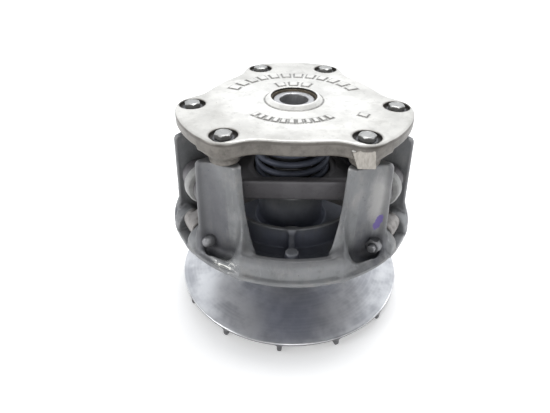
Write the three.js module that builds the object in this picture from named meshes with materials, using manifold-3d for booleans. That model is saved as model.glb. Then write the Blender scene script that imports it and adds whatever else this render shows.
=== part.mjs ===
// Drive pulley set (centrifugal variator) for a belt transmission, in millimetres, +Z along the shaft.
// A fixed sheave with cooling fins carries the shaft, a three-forked spider and the cam rollers.
// The moveable sheave, its six towers and the cover slide down the shaft and close the belt groove.
// Three flyweights pivot between the towers and press on the rollers; a coil spring opens the groove.

import * as THREE from 'three';
import { mergeVertices } from 'three/addons/utils/BufferGeometryUtils.js';
import Module from 'manifold-3d';

const wasm = await Module();
wasm.setup();

// ---------------------------------------------------------------- driving dimensions

const TRAVEL = 31; // how far the moveable sheave closes
const SWING = THREE.MathUtils.degToRad(60); // flyweight swing over the full travel
const POCKET_ANGLES = [90, 210, 330]; // azimuth of each flyweight pocket
const WINDOW_OFFSET = 60; // from a pocket to the window beside it
const FACE_SLOPE = Math.tan(THREE.MathUtils.degToRad(14)); // belt face angle
const FACE_FLAT_R = 40; // inside this radius the belt faces are flat

const FIXED_R = 104;
const FIXED_RIM_Z = 11;
const FIXED_HUB_R = 34;
const FIN_COUNT = 13;
const FIN_AZIMUTH = 265.3;
const FIN_HALF = 2.1;
const HUB_BASE_Z = 1;

const MOVEABLE_R = 104.5;
const LIP_Z = 76.8; // lower edge of the moveable rim
const LIP_TOP_Z = 80.7;
const BAND_TOP_Z = 97.5; // sill of each window
const BAND_FOOT_R = 101.8;
const BAND_TOP_R = 99.9;
const BAND_INNER_R = 94.8;
const LEDGE_TOP_Z = 86;
const SILL_HALF_ANGLE = 24; // half of each window's sill, seen from the shaft
const FLOOR_Z = 80; // back of the moveable sheave
const ROOT_Z = 77; // castings run into the sheave down to here
const BUSHING_R = 24.5;
const STEP_R = 72;
const RING_R = 58.2;
const RING_HALF = 2.3;
const RING_TOP_Z = 96;
const MOVEABLE_HUB_R = 29;
const MOVEABLE_HUB_TOP_Z = 103.7;

const TOWER_TOP_Z = 159.7;
const PLATE_INNER = 20.3; // tower plates, measured across the pocket
const PLATE_OUTER = 24.8;
const PLATE_EDGE_TOP = 92.8;
const PLATE_EDGE_FOOT = 96.6;
const PLATE_BACK = 68;
const BOLT_X = 73.2; // cover bolt centres, along and across the pocket
const BOLT_Y = 29.7;
const COLUMN_R = 8.5;
const WEB_BACK = 67;
const WEB_FRONT = 72;
const EAR_INNER = 10;
const RIB_HALF = 2.5;
const PIVOT_X = 89.5;
const PIVOT_Z = 89.5;
const PIVOT_BOLT_R = 3.2;
const COVER_BOLT_R = 3.1;
const COVER_BOLT_END_Z = 141;

const SHAFT_LOWER_R = 22;
const SHAFT_PRESS_R = 20;
const THREAD_R = 19;
const JOURNAL_R = 17;
const SHAFT_TOP_Z = 179.4;
const SHAFT_BEVEL = 1.4;
const SHOULDER_Z = 104;

const SPIDER_BASE_Z = 109.3;
const SPIDER_CUP_FLOOR_Z = 113;
const CUP_INNER_R = 33;
const SPIDER_HUB_TOP_Z = 118;
const BAR_BASE_Z = 116.9;
const BAR_TOP_Z = 134.3;
const BAR_INRADIUS = 50;
const BAR_WIDTH = 7.5;
const TRAY_FLOOR_Z = 121;
const CHANNEL_TOP_Z = 118.9; // room for the flyweights under each fork
const FORK_ROOT = 66;
const TINE_R = 12.4;
const TINE_INNER = 5.8;
const TINE_OUTER = 18.6;

const ROLLER_X = 79.5;
const ROLLER_Z = 125;
const ROLLER_R = 15.8;
const ROLLER_HALF = 4.2;
const PIN_R = 5;
const CAM_GAP = 0.3;
const HEEL_R = 8.2;
const BLADE_HALF = 4.6;

const SPRING_R = 29.2;
const WIRE_R = 2.5;
const SPRING_TURNS = 5;

const COVER_TOP_Z = 178.9;
const COVER_CEILING_Z = 172.5;
const COVER_BASE_Z = 160;
const SKIRT_BASE_Z = 166.5;
const SKIRT_POCKET_Z = 169.8;
const SKIRT_WALL = 4.2;
const BOSS_R = 11;
const COUNTERBORE_R = 9.95;
const COUNTERBORE_Z = 175.3;
const COVER_BOSS_R = 21.95;
const COVER_BOSS_FOOT_R = 22.9;
const COVER_BOSS_RIM_R = 20.2;
const COVER_BOSS_TOP_Z = 182.1;
const COVER_BOSS_BASE_Z = 171.5;
const COVER_LIP_R = 18; // the boss closes in above its bushing
const COVER_LIP_Z = 180.8;
const COVER_BUSHING_TOP_Z = 180.6;
const PILOT_R = 25.5;
// Cover edge as (degrees from the pocket's middle, radius), for half of one of its three lobes.
const COVER_EDGE = [
  [0, 92.6], [13, 92.7], [21, 91.9], [27, 89.6], [31.5, 84.8], [34, 78.8], [38, 74.4], [46, 72], [60, 71.2],
];

const ROUND = 60; // facets around the sheaves
const CORE = 36; // facets around the shaft and what is stacked on it
const MEDIUM = 24;
const SMALL = 12;

// ---------------------------------------------------------------- shape helpers

const rad = THREE.MathUtils.degToRad;

// A closed geometry as a manifold solid.
function solid(geometry) {
  const bare = geometry.clone();
  bare.deleteAttribute('normal');
  bare.deleteAttribute('uv');
  const merged = mergeVertices(bare, 1e-4);
  const vertProperties = new Float32Array(merged.attributes.position.array);
  const triVerts = new Uint32Array(merged.index.array);
  return new wasm.Manifold(new wasm.Mesh({ numProp: 3, vertProperties, triVerts }));
}

// A manifold solid as a three.js geometry with flat facets.
function geometryOf(body) {
  const data = body.getMesh();
  const geometry = new THREE.BufferGeometry();
  geometry.setAttribute('position', new THREE.BufferAttribute(new Float32Array(data.vertProperties), 3));
  geometry.setIndex(new THREE.BufferAttribute(new Uint32Array(data.triVerts), 1));
  geometry.computeVertexNormals();
  return geometry;
}

function signedArea(points) {
  let area = 0;
  points.forEach(([x, y], i) => {
    const [nextX, nextY] = points[(i + 1) % points.length];
    area += (x * nextY - nextX * y) / 2;
  });
  return area;
}

// A closed (radius, height) profile turned about +Z.
function turned(profile, facets = CORE) {
  const ordered = signedArea(profile) > 0 ? profile : [...profile].reverse();
  const points = [...ordered, ordered[0]].map(([r, z]) => new THREE.Vector2(r, z));
  return new THREE.LatheGeometry(points, facets).rotateX(Math.PI / 2);
}

function ring(inner, outer, low, high, facets = CORE) {
  return turned([[inner, low], [outer, low], [outer, high], [inner, high]], facets);
}

// A cylinder along +Z from low to high, centred on (x, y).
function post(radius, low, high, x = 0, y = 0, facets = SMALL) {
  const geometry = new THREE.CylinderGeometry(radius, radius, high - low, facets).rotateX(Math.PI / 2);
  return geometry.translate(x, y, (low + high) / 2);
}

// A cylinder across a pocket, from y = low to y = high, centred on (x, z).
function crossPin(radius, low, high, x, z, facets = SMALL) {
  const geometry = new THREE.CylinderGeometry(radius, radius, high - low, facets);
  return geometry.translate(x, (low + high) / 2, z);
}

function flat(points) {
  return new THREE.Shape(points.map(([x, y]) => new THREE.Vector2(x, y)));
}

// An (x, y) outline raised from low to high.
function raised(points, low, high) {
  const geometry = new THREE.ExtrudeGeometry(flat(points), { depth: high - low, bevelEnabled: false });
  return geometry.translate(0, 0, low);
}

// An (x, z) outline thickened across the pocket, from y = low to y = high.
function across(points, low, high) {
  const geometry = new THREE.ExtrudeGeometry(flat(points), { depth: high - low, bevelEnabled: false });
  return geometry.rotateX(Math.PI / 2).translate(0, high, 0);
}

// A (y, z) outline thickened along the pocket, from x = low to x = high.
function along(points, low, high) {
  const geometry = new THREE.ExtrudeGeometry(flat(points), { depth: high - low, bevelEnabled: false });
  const turn = new THREE.Matrix4().makeBasis(
    new THREE.Vector3(0, 1, 0), new THREE.Vector3(0, 0, 1), new THREE.Vector3(1, 0, 0));
  return geometry.applyMatrix4(turn).translate(low, 0, 0);
}

function block(x0, x1, y0, y1, z0, z1) {
  const geometry = new THREE.BoxGeometry(x1 - x0, y1 - y0, z1 - z0);
  return geometry.translate((x0 + x1) / 2, (y0 + y1) / 2, (z0 + z1) / 2);
}

// Points on an arc, from one angle to another in degrees.
function arc(x, y, radius, from, to, steps) {
  const points = [];
  for (let i = 0; i <= steps; i += 1) {
    const angle = rad(from + ((to - from) * i) / steps);
    points.push([x + radius * Math.cos(angle), y + radius * Math.sin(angle)]);
  }
  return points;
}

function hexagon(acrossFlats, turn = 0) {
  return arc(0, 0, acrossFlats / Math.sqrt(3), turn, turn + 300, 5);
}

function join(parts) {
  return parts.reduce((all, part) => all.add(part));
}

// Copies of a solid at the three pockets, or at the windows beside them.
function atPockets(body, offset = 0) {
  return join(POCKET_ANGLES.map((angle) => body.rotate([0, 0, angle + offset])));
}

function mirrored(body) {
  return body.add(body.mirror([0, 1, 0]));
}

// ---------------------------------------------------------------- materials

function finish(color, roughness, metalness) {
  return new THREE.MeshStandardMaterial({ color, roughness, metalness });
}

const machinedAluminium = () => finish(0xb9bcc0, 0.32, 0.9);
const castMetal = () => finish(0x86888b, 0.62, 0.6);
const coverMetal = () => finish(0xc9c9c6, 0.5, 0.6);
const darkCast = () => finish(0x4a4643, 0.6, 0.5);
const shaftSteel = () => finish(0x8f9297, 0.3, 0.95);
const springSteel = () => finish(0x1f2533, 0.45, 0.7);
const zincSteel = () => finish(0xb3b5b4, 0.38, 0.9);
const darkSteel = () => finish(0x4b4c4f, 0.45, 0.85);
const bushing = () => finish(0x6a5a44, 0.5, 0.5);
const plastic = () => finish(0x9d9c98, 0.55, 0.05);

const pulleySet = new THREE.Group();

function add(parent, name, geometry, material) {
  const mesh = new THREE.Mesh(geometry, material);
  mesh.name = name;
  parent.add(mesh);
  return mesh;
}

const pockets = POCKET_ANGLES.map((angle) => {
  const group = new THREE.Group();
  group.rotation.z = rad(angle);
  pulleySet.add(group);
  return group;
});

// ---------------------------------------------------------------- fixed sheave

function faceZ(radius, rimRadius, rimZ, direction) {
  return rimZ + direction * (rimRadius - Math.max(radius, FACE_FLAT_R)) * FACE_SLOPE;
}

function fixedSheave() {
  const face = (r) => faceZ(r, FIXED_R, FIXED_RIM_Z, 1);
  const bore = SHAFT_PRESS_R + 0.1;
  const disc = solid(turned([
    [bore, HUB_BASE_Z], [FIXED_HUB_R, HUB_BASE_Z], [FIXED_HUB_R + 1, 20.6], [102.6, 7.6], [FIXED_R, 8.6],
    [FIXED_R, 10.6], [FIXED_R - 0.6, face(FIXED_R - 0.6)], [FACE_FLAT_R, face(FACE_FLAT_R)],
    [bore, face(FACE_FLAT_R)],
  ], ROUND));
  const finOutline = [[32, 0.6], [40, 0], [102.9, 0], [103.4, 0.6], [103.4, 8.8], [60, 17], [32, 22.4]];
  const fin = solid(across(finOutline, -FIN_HALF, FIN_HALF));
  const fins = [];
  for (let i = 0; i < FIN_COUNT; i += 1) {
    fins.push(fin.rotate([0, 0, FIN_AZIMUTH + (360 * i) / FIN_COUNT]));
  }
  return disc.add(join(fins));
}
add(pulleySet, 'fixed_sheave', geometryOf(fixedSheave()), machinedAluminium());

// ---------------------------------------------------------------- shaft and what is stacked on it

const shaftProfile = [
  [15.5, HUB_BASE_Z], [SHAFT_PRESS_R, HUB_BASE_Z], [SHAFT_PRESS_R, 27.2], [SHAFT_LOWER_R, 27.2],
  [SHAFT_LOWER_R, SHOULDER_Z], [THREAD_R, SHOULDER_Z], [THREAD_R, 128.6], [JOURNAL_R, 129.8],
  [JOURNAL_R, SHAFT_TOP_Z - SHAFT_BEVEL], [JOURNAL_R - SHAFT_BEVEL, SHAFT_TOP_Z], [11.9, SHAFT_TOP_Z],
  [11.25, SHAFT_TOP_Z - 0.7], [11.25, 156], [8.2, 154.2], [8.2, 96], [12.3, 95],
];
add(pulleySet, 'clutch_shaft', turned(shaftProfile), shaftSteel());

const SPACER_R = 25.8;
const stackBore = THREAD_R + 0.15;
const spiderSpacer = ring(stackBore, SPACER_R, SHOULDER_Z + 0.1, SPIDER_BASE_Z - 0.2);
add(pulleySet, 'spider_spacer', spiderSpacer, darkSteel());

const NUT_AF = 43;
const NUT_TOP_Z = 127.8;
const jamNut = solid(raised(hexagon(NUT_AF), SPIDER_HUB_TOP_Z + 0.2, NUT_TOP_Z));
const jamNutBore = solid(ring(0, stackBore, SPIDER_HUB_TOP_Z - 1, NUT_TOP_Z + 1));
add(pulleySet, 'spider_jam_nut', geometryOf(jamNut.subtract(jamNutBore)), darkSteel());

const LIMITER_TOP_Z = COVER_BOSS_BASE_Z - TRAVEL - 0.3;
add(pulleySet, 'limiter_spacer', ring(JOURNAL_R + 0.15, 20.4, 130.2, LIMITER_TOP_Z), darkSteel());

// ---------------------------------------------------------------- moveable sheave with towers

// One tower plate with its bolt column and the web that flares to the window's corner.
function towerHalf() {
  const cornerRound = arc(PLATE_EDGE_TOP - 3.5, TOWER_TOP_Z - 3.5, 3.5, 0, 90, 4);
  const plate = solid(across([
    [PLATE_BACK, ROOT_Z], [PLATE_EDGE_FOOT, FLOOR_Z - 1], ...cornerRound, [PLATE_BACK, TOWER_TOP_Z],
  ], PLATE_INNER, PLATE_OUTER));
  const column = solid(post(COLUMN_R, ROOT_Z, TOWER_TOP_Z, BOLT_X, BOLT_Y, MEDIUM));
  const webOutline = [
    [24, ROOT_Z], [63, ROOT_Z], [61.5, BAND_TOP_Z], [56, 105], [50.5, 118], [47, 134], [43.5, TOWER_TOP_Z],
    [24, TOWER_TOP_Z],
  ];
  const web = solid(along(webOutline, WEB_BACK, WEB_FRONT));
  // The web thickens outwards at its foot, where it runs into the band.
  const flareSide = solid(across([
    [WEB_FRONT - 1, ROOT_Z], [83, ROOT_Z], [82, LEDGE_TOP_Z], [77.5, BAND_TOP_Z], [74, 108], [WEB_FRONT, 120],
    [WEB_FRONT - 1, 120],
  ], 43, 66));
  const flare = solid(along(webOutline, WEB_FRONT - 1, 84)).intersect(flareSide);
  // The plate's root is thickened towards the web, as a casting is.
  const fillet = solid(raised([
    [WEB_FRONT - 1, 24], [83, 24], [78.6, 29], [WEB_FRONT - 1, 42],
  ], ROOT_Z, TOWER_TOP_Z));
  return plate.add(column).add(web).add(flare).add(fillet);
}

// The ears that carry the flyweight's pivot, with lobes out to the rim.
function pocketEar() {
  return solid(across([
    [79, ROOT_Z], [80.5, 90], ...arc(PIVOT_X, PIVOT_Z, 7, 150, 60, 4), [99.5, 91], [102.4, 86],
    [103.2, FLOOR_Z - 1.5], [103.2, ROOT_Z],
  ], EAR_INNER, PLATE_INNER + 1));
}

function moveableSheave() {
  const face = (r) => faceZ(r, MOVEABLE_R, LIP_Z, -1);
  const bore = BUSHING_R + 0.1;
  const disc = solid(turned([
    [bore, face(0)], [FACE_FLAT_R, face(0)], [MOVEABLE_R - 0.7, face(MOVEABLE_R - 0.7)],
    [MOVEABLE_R, LIP_Z + 0.6], [MOVEABLE_R, LIP_TOP_Z - 0.6], [103.8, LIP_TOP_Z], [BAND_FOOT_R, 81.8],
    [BAND_TOP_R, BAND_TOP_Z], [BAND_INNER_R, BAND_TOP_Z], [BAND_INNER_R, FLOOR_Z],
    [STEP_R, FLOOR_Z], [STEP_R - 1.5, 78], [RING_R + RING_HALF, 77.5], [RING_R + RING_HALF - 0.4, RING_TOP_Z],
    [RING_R - RING_HALF + 0.4, RING_TOP_Z], [RING_R - RING_HALF, 75.5], [MOVEABLE_HUB_R + 3, 69],
    [MOVEABLE_HUB_R, 73], [MOVEABLE_HUB_R, MOVEABLE_HUB_TOP_Z], [bore, MOVEABLE_HUB_TOP_Z],
  ], ROUND));
  // Between the plates the band is cut away; beside each plate it drops to a ledge.
  const pocketCut = solid(block(WEB_FRONT, 110, -PLATE_INNER - 2, PLATE_INNER + 2, FLOOR_Z, 110));
  const ledgePlan = solid(raised([[75, 22], [110, 22], [110, 92], [70, 60]], LEDGE_TOP_Z, 110));
  // The ledge rises to the sill in a ramp along the band.
  const ledgeRamp = solid(along([
    [-60, FLOOR_Z], [-8, LEDGE_TOP_Z - 0.5], [-4, LEDGE_TOP_Z + 1], [3, BAND_TOP_Z - 2],
    [8, BAND_TOP_Z + 0.1], [8, 112], [-60, 112],
  ], 60, 120)).rotate([0, 0, WINDOW_OFFSET - SILL_HALF_ANGLE]);
  const ledge = ledgePlan.intersect(ledgeRamp);
  const ledgeRecess = solid(raised([
    [76, 22], [95.8, 22], [93.8, 33.5], [86, 46], [77.2, 54],
  ], FLOOR_Z, 110));
  const towers = mirrored(towerHalf().add(pocketEar()));
  const aboveFace = solid(turned([
    [40, face(40) + 2], [MOVEABLE_R, LIP_Z + 2], [MOVEABLE_R, 200], [40, 200],
  ], ROUND));
  const rib = solid(across([
    [RING_R, 76], [97, 76], [97, 92], [84, 92.6], [70, 91.5], [63, 93.5], [RING_R, 95],
  ], -RIB_HALF, RIB_HALF));
  const ribBoss = solid(post(5, 78, 94.6, 84.5, 0, SMALL));
  const heelNotch = solid(block(79, 110, -EAR_INNER, EAR_INNER, FLOOR_Z - 0.4, 110));
  const pivotHole = solid(crossPin(PIVOT_BOLT_R + 0.3, -40, 40, PIVOT_X, PIVOT_Z));
  const boltHole = solid(post(COVER_BOLT_R + 0.3, COVER_BOLT_END_Z - 3, 200, BOLT_X, BOLT_Y));
  const cuts = join([pocketCut, mirrored(ledge), mirrored(ledgeRecess)]);
  const body = disc.subtract(atPockets(cuts)).add(atPockets(towers).intersect(aboveFace));
  const ribs = atPockets(rib.add(ribBoss), WINDOW_OFFSET);
  const holes = join([heelNotch, pivotHole, mirrored(boltHole)]);
  return body.add(ribs).subtract(atPockets(holes));
}
add(pulleySet, 'moveable_sheave', geometryOf(moveableSheave()), castMetal());
add(pulleySet, 'sheave_bushing', ring(SHAFT_LOWER_R + 0.1, BUSHING_R, 61, MOVEABLE_HUB_TOP_Z), bushing());

// ---------------------------------------------------------------- spider

// Outline of the spider's body: three straight bars, cut off square where each fork begins.
function spiderOutline(inradius, reach) {
  const half = (inradius - reach * Math.cos(rad(60))) / Math.sin(rad(60));
  const points = [];
  POCKET_ANGLES.forEach((angle) => {
    [-half, half].forEach((y) => {
      const turn = rad(angle);
      points.push([
        reach * Math.cos(turn) - y * Math.sin(turn),
        reach * Math.sin(turn) + y * Math.cos(turn),
      ]);
    });
  });
  return points;
}

function spider() {
  const cupR = CUP_INNER_R + 3.3;
  const hub = solid(turned([
    [stackBore, SPIDER_BASE_Z], [cupR, SPIDER_BASE_Z], [cupR, TRAY_FLOOR_Z], [CUP_INNER_R, TRAY_FLOOR_Z],
    [CUP_INNER_R, SPIDER_CUP_FLOOR_Z], [25.6, SPIDER_CUP_FLOOR_Z], [24.6, SPIDER_HUB_TOP_Z],
    [stackBore, SPIDER_HUB_TOP_Z],
  ]));
  const body = solid(raised(spiderOutline(BAR_INRADIUS, FORK_ROOT), BAR_BASE_Z, BAR_TOP_Z));
  const tray = solid(raised(spiderOutline(BAR_INRADIUS - BAR_WIDTH, 57), TRAY_FLOOR_Z, BAR_TOP_Z + 5));
  const well = solid(ring(0, CUP_INNER_R, 100, TRAY_FLOOR_Z + 1));
  const tine = solid(across([
    ...arc(ROLLER_X, ROLLER_Z, TINE_R, -100, 100, 14), [FORK_ROOT, BAR_TOP_Z], [FORK_ROOT - 6, BAR_TOP_Z],
    [FORK_ROOT - 6, BAR_BASE_Z], [FORK_ROOT, BAR_BASE_Z - 2],
  ], TINE_INNER, TINE_OUTER));
  const channel = solid(block(cupR + 0.4, 90, -TINE_INNER, TINE_INNER, 100, CHANNEL_TOP_Z));
  const rollerRoom = solid(crossPin(ROLLER_R + 1.6, -TINE_INNER, TINE_INNER, ROLLER_X, ROLLER_Z, MEDIUM));
  const pinHole = solid(crossPin(PIN_R + 0.2, -30, 30, ROLLER_X, ROLLER_Z));
  const plain = body.subtract(tray).subtract(well).add(hub).add(atPockets(mirrored(tine)));
  return plain.subtract(atPockets(join([channel, rollerRoom, pinHole])));
}
add(pulleySet, 'spider', geometryOf(spider()), darkCast());

// ---------------------------------------------------------------- rollers, pins and slide buttons

// A turned profile laid across the pocket, centred on (x, z).
function rolled(profile, x, z, facets) {
  return turned(profile, facets).rotateX(-Math.PI / 2).translate(x, 0, z);
}

const ROLLER_BORE = 7.6;
const rollerProfile = [
  [ROLLER_BORE, -ROLLER_HALF], [ROLLER_R - 0.8, -ROLLER_HALF], [ROLLER_R, -ROLLER_HALF + 0.8],
  [ROLLER_R, ROLLER_HALF - 0.8], [ROLLER_R - 0.8, ROLLER_HALF], [ROLLER_BORE, ROLLER_HALF],
];
const WASHER_R = 9.6;
const WASHER_LOW = ROLLER_HALF + 0.25;
const WASHER_HIGH = TINE_INNER - 0.25;
const BUTTON_R = 10.4;
const BUTTON_LOW = TINE_OUTER + 0.2;
const BUTTON_HIGH = PLATE_INNER - 0.25;

pockets.forEach((pocket, i) => {
  const tag = i + 1;
  const bushingProfile = [
    [PIN_R + 0.25, -ROLLER_HALF], [ROLLER_BORE - 0.15, -ROLLER_HALF],
    [ROLLER_BORE - 0.15, ROLLER_HALF], [PIN_R + 0.25, ROLLER_HALF],
  ];
  add(pocket, `roller_${tag}`, rolled(rollerProfile, ROLLER_X, ROLLER_Z, MEDIUM), plastic());
  add(pocket, `roller_bushing_${tag}`, rolled(bushingProfile, ROLLER_X, ROLLER_Z, SMALL), bushing());
  const pin = crossPin(PIN_R, -TINE_OUTER, TINE_OUTER, ROLLER_X, ROLLER_Z);
  add(pocket, `roller_pin_${tag}`, pin, shaftSteel());
  [['a', 1], ['b', -1]].forEach(([side, sign]) => {
    const [washerFrom, washerTo] = [sign * WASHER_LOW, sign * WASHER_HIGH];
    const washer = [
      [PIN_R + 0.3, washerFrom], [WASHER_R, washerFrom], [WASHER_R, washerTo], [PIN_R + 0.3, washerTo],
    ];
    add(pocket, `roller_washer_${tag}${side}`, rolled(washer, ROLLER_X, ROLLER_Z, SMALL), darkSteel());
    const button = [
      [0, sign * BUTTON_LOW], [BUTTON_R, sign * BUTTON_LOW], [BUTTON_R - 0.8, sign * BUTTON_HIGH],
      [0, sign * BUTTON_HIGH],
    ];
    add(pocket, `slide_button_${tag}${side}`, rolled(button, ROLLER_X, ROLLER_Z, MEDIUM), plastic());
  });
});

// ---------------------------------------------------------------- flyweights

// Where the roller's centre is, seen from the flyweight's pivot in its rest position, after the
// sheave has moved down by t and the flyweight has swung in proportion.
function rollerPath(t) {
  const angle = (SWING * t) / TRAVEL;
  const x = ROLLER_X - PIVOT_X;
  const z = ROLLER_Z - PIVOT_Z + t;
  return [x * Math.cos(angle) - z * Math.sin(angle), x * Math.sin(angle) + z * Math.cos(angle)];
}

// The cam is the roller path set back by the roller's radius.
function camPoint(t) {
  const step = 0.01;
  const [x, z] = rollerPath(t);
  const [nextX, nextZ] = rollerPath(t + step);
  const length = Math.hypot(nextX - x, nextZ - z);
  const reach = (ROLLER_R + CAM_GAP) / length;
  return [x - (nextZ - z) * reach, z + (nextX - x) * reach];
}

function flyweight() {
  const cam = [];
  for (let i = 0; i <= 14; i += 1) {
    cam.push(camPoint((TRAVEL * i) / 14));
  }
  const heel = arc(0, 0, HEEL_R, -110, 75, 12);
  const outline = [
    ...heel, [-6.5, 12.5], [-11, 17], ...cam, [-53.6, 10.9], [-54.6, 9.4], [-53.6, 8.2], [-28.5, 7.2],
    [-22, 4.5], [-11, -5],
  ].map(([x, z]) => [x + PIVOT_X, z + PIVOT_Z]);
  const hubHalf = EAR_INNER - 0.4;
  const hub = solid(crossPin(HEEL_R, -hubHalf, hubHalf, PIVOT_X, PIVOT_Z, MEDIUM));
  const bore = solid(crossPin(4.9, -20, 20, PIVOT_X, PIVOT_Z));
  return solid(across(outline, -BLADE_HALF, BLADE_HALF)).add(hub).subtract(bore);
}

const flyweightGeometry = geometryOf(flyweight());
const HEAD_BASE = PLATE_OUTER + 0.3;

pockets.forEach((pocket, i) => {
  const tag = i + 1;
  add(pocket, `flyweight_${tag}`, flyweightGeometry, darkSteel());
  const sleeve = [
    [PIVOT_BOLT_R + 0.25, -9.4], [4.7, -9.4], [4.7, 9.4], [PIVOT_BOLT_R + 0.25, 9.4],
  ];
  add(pocket, `flyweight_bushing_${tag}`, rolled(sleeve, PIVOT_X, PIVOT_Z, SMALL), bushing());
  const bolt = [
    [0, -34.5], [PIVOT_BOLT_R - 0.6, -34.5], [PIVOT_BOLT_R, -33.9], [PIVOT_BOLT_R, HEAD_BASE],
    [5.9, HEAD_BASE], [5.9, HEAD_BASE + 3.2], [4.6, HEAD_BASE + 4.6], [0, HEAD_BASE + 5.2],
  ];
  add(pocket, `flyweight_bolt_${tag}`, rolled(bolt, PIVOT_X, PIVOT_Z, SMALL), darkSteel());
  const nutOutline = hexagon(11.1).map(([x, z]) => [x + PIVOT_X, z + PIVOT_Z]);
  const nutBore = solid(crossPin(PIVOT_BOLT_R + 0.15, -40, -20, PIVOT_X, PIVOT_Z));
  const nut = solid(across(nutOutline, -31, -HEAD_BASE)).subtract(nutBore);
  add(pocket, `flyweight_nut_${tag}`, geometryOf(nut), zincSteel());
});

// ---------------------------------------------------------------- drive spring

// A helix whose first and last turns lie nearly flat on their seats.
class SpringCurve extends THREE.Curve {
  getPoint(t, target = new THREE.Vector3()) {
    const low = SPIDER_CUP_FLOOR_Z + 0.25 + WIRE_R;
    const high = COVER_CEILING_Z - 0.25 - WIRE_R;
    const deadRise = 2 * WIRE_R + 0.5;
    const turn = t * (SPRING_TURNS + 2);
    const rise = (high - low - 2 * deadRise) / SPRING_TURNS;
    const z = low + deadRise * Math.min(turn, 1) + rise * Math.min(Math.max(turn - 1, 0), SPRING_TURNS)
      + deadRise * Math.max(turn - 1 - SPRING_TURNS, 0);
    const angle = 2 * Math.PI * turn;
    return target.set(SPRING_R * Math.cos(angle), SPRING_R * Math.sin(angle), z);
  }
}

function springGeometry() {
  const section = flat(arc(0, 0, WIRE_R, 22.5, 337.5, 7));
  const steps = (SPRING_TURNS + 2) * 14;
  return new THREE.ExtrudeGeometry(section, { steps, bevelEnabled: false, extrudePath: new SpringCurve() });
}
add(pulleySet, 'drive_spring', springGeometry(), springSteel());

// ---------------------------------------------------------------- cover

// The cover's edge, drawn in by inset, as a smooth closed curve through the edge points.
function coverOutline(inset, samples) {
  const points = [];
  POCKET_ANGLES.forEach((middle) => {
    const half = COVER_EDGE.map(([angle, r]) => [angle, r - inset]);
    const lobe = [...half.slice(1, -1).reverse().map(([angle, r]) => [-angle, r]), ...half];
    lobe.forEach(([angle, r]) => {
      const turn = rad(middle + angle);
      points.push(new THREE.Vector3(r * Math.cos(turn), r * Math.sin(turn), 0));
    });
  });
  const curve = new THREE.CatmullRomCurve3(points, true, 'centripetal');
  return curve.getPoints(samples).slice(0, -1).map((p) => [p.x, p.y]);
}

function cover() {
  const plate = solid(raised(coverOutline(0, 96), SKIRT_BASE_Z, COVER_TOP_Z));
  const hollow = solid(raised(coverOutline(SKIRT_WALL, 60), SKIRT_BASE_Z - 1, COVER_CEILING_Z));
  // Over each pocket the skirt is higher and the bosses are flat, to pass the spider's forks.
  const pocketRoom = solid(block(60, 110, -PLATE_INNER, PLATE_INNER, COVER_BASE_Z - 1, SKIRT_POCKET_Z));
  const boss = solid(post(BOSS_R, COVER_BASE_Z, COVER_CEILING_Z + 1, BOLT_X, BOLT_Y, MEDIUM));
  const spokeEnd = Math.hypot(BOLT_X, BOLT_Y) - BOSS_R + 1;
  const spokeTurn = THREE.MathUtils.radToDeg(Math.atan2(BOLT_Y, BOLT_X));
  const spokeBar = block(33, spokeEnd, -2, 2, SKIRT_POCKET_Z, COVER_CEILING_Z + 1);
  const spoke = solid(spokeBar).rotate([0, 0, spokeTurn]);
  const hub = solid(turned([
    [COVER_LIP_R, COVER_BOSS_BASE_Z], [COVER_BOSS_R, COVER_BOSS_BASE_Z], [COVER_BOSS_FOOT_R, COVER_TOP_Z - 1],
    [COVER_BOSS_FOOT_R, COVER_TOP_Z], [COVER_BOSS_RIM_R, COVER_BOSS_TOP_Z], [COVER_LIP_R, COVER_BOSS_TOP_Z],
  ]));
  const pilot = solid(ring(COVER_BOSS_R - 0.5, PILOT_R, 168.5, COVER_CEILING_Z + 1));
  const bore = solid(ring(0, THREAD_R + 0.1, COVER_BASE_Z, COVER_LIP_Z));
  const counterbore = solid(post(COUNTERBORE_R, COUNTERBORE_Z, 190, BOLT_X, BOLT_Y, MEDIUM));
  const boltHole = solid(post(COVER_BOLT_R + 0.4, 150, 190, BOLT_X, BOLT_Y));
  const shell = plate.subtract(hollow);
  const filled = shell.add(atPockets(mirrored(boss.add(spoke)))).add(hub).add(pilot);
  const cuts = atPockets(mirrored(counterbore.add(boltHole)).add(pocketRoom));
  return filled.subtract(bore).subtract(cuts);
}
add(pulleySet, 'cover', geometryOf(cover()), coverMetal());

const coverBushingProfile = [
  [JOURNAL_R + 0.1, COVER_BOSS_BASE_Z], [THREAD_R, COVER_BOSS_BASE_Z], [THREAD_R, COVER_BUSHING_TOP_Z],
  [JOURNAL_R + 0.9, COVER_BUSHING_TOP_Z], [JOURNAL_R + 0.1, COVER_BUSHING_TOP_Z - 0.7],
];
add(pulleySet, 'cover_bushing', turned(coverBushingProfile), bushing());

// Six hex bolts with washers, in the counterbores over the towers.
const HEAD_TURNS = [12, 40, 18, 50, 30, 5];
let boltNumber = 0;
pockets.forEach((pocket) => {
  [-1, 1].forEach((side) => {
    const tag = boltNumber + 1;
    const washer = ring(COVER_BOLT_R + 0.4, 7.6, COUNTERBORE_Z + 0.1, COUNTERBORE_Z + 1.3, SMALL);
    add(pocket, `cover_washer_${tag}`, washer.translate(BOLT_X, side * BOLT_Y, 0), darkSteel());
    const headBase = COUNTERBORE_Z + 1.4;
    const head = solid(raised(hexagon(11.1, HEAD_TURNS[boltNumber]), headBase, headBase + 4));
    const shank = solid(post(COVER_BOLT_R, COVER_BOLT_END_Z, headBase + 1));
    const bolt = geometryOf(head.add(shank)).translate(BOLT_X, side * BOLT_Y, 0);
    add(pocket, `cover_bolt_${tag}`, bolt, zincSteel());
    boltNumber += 1;
  });
});

export default pulleySet;
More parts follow.
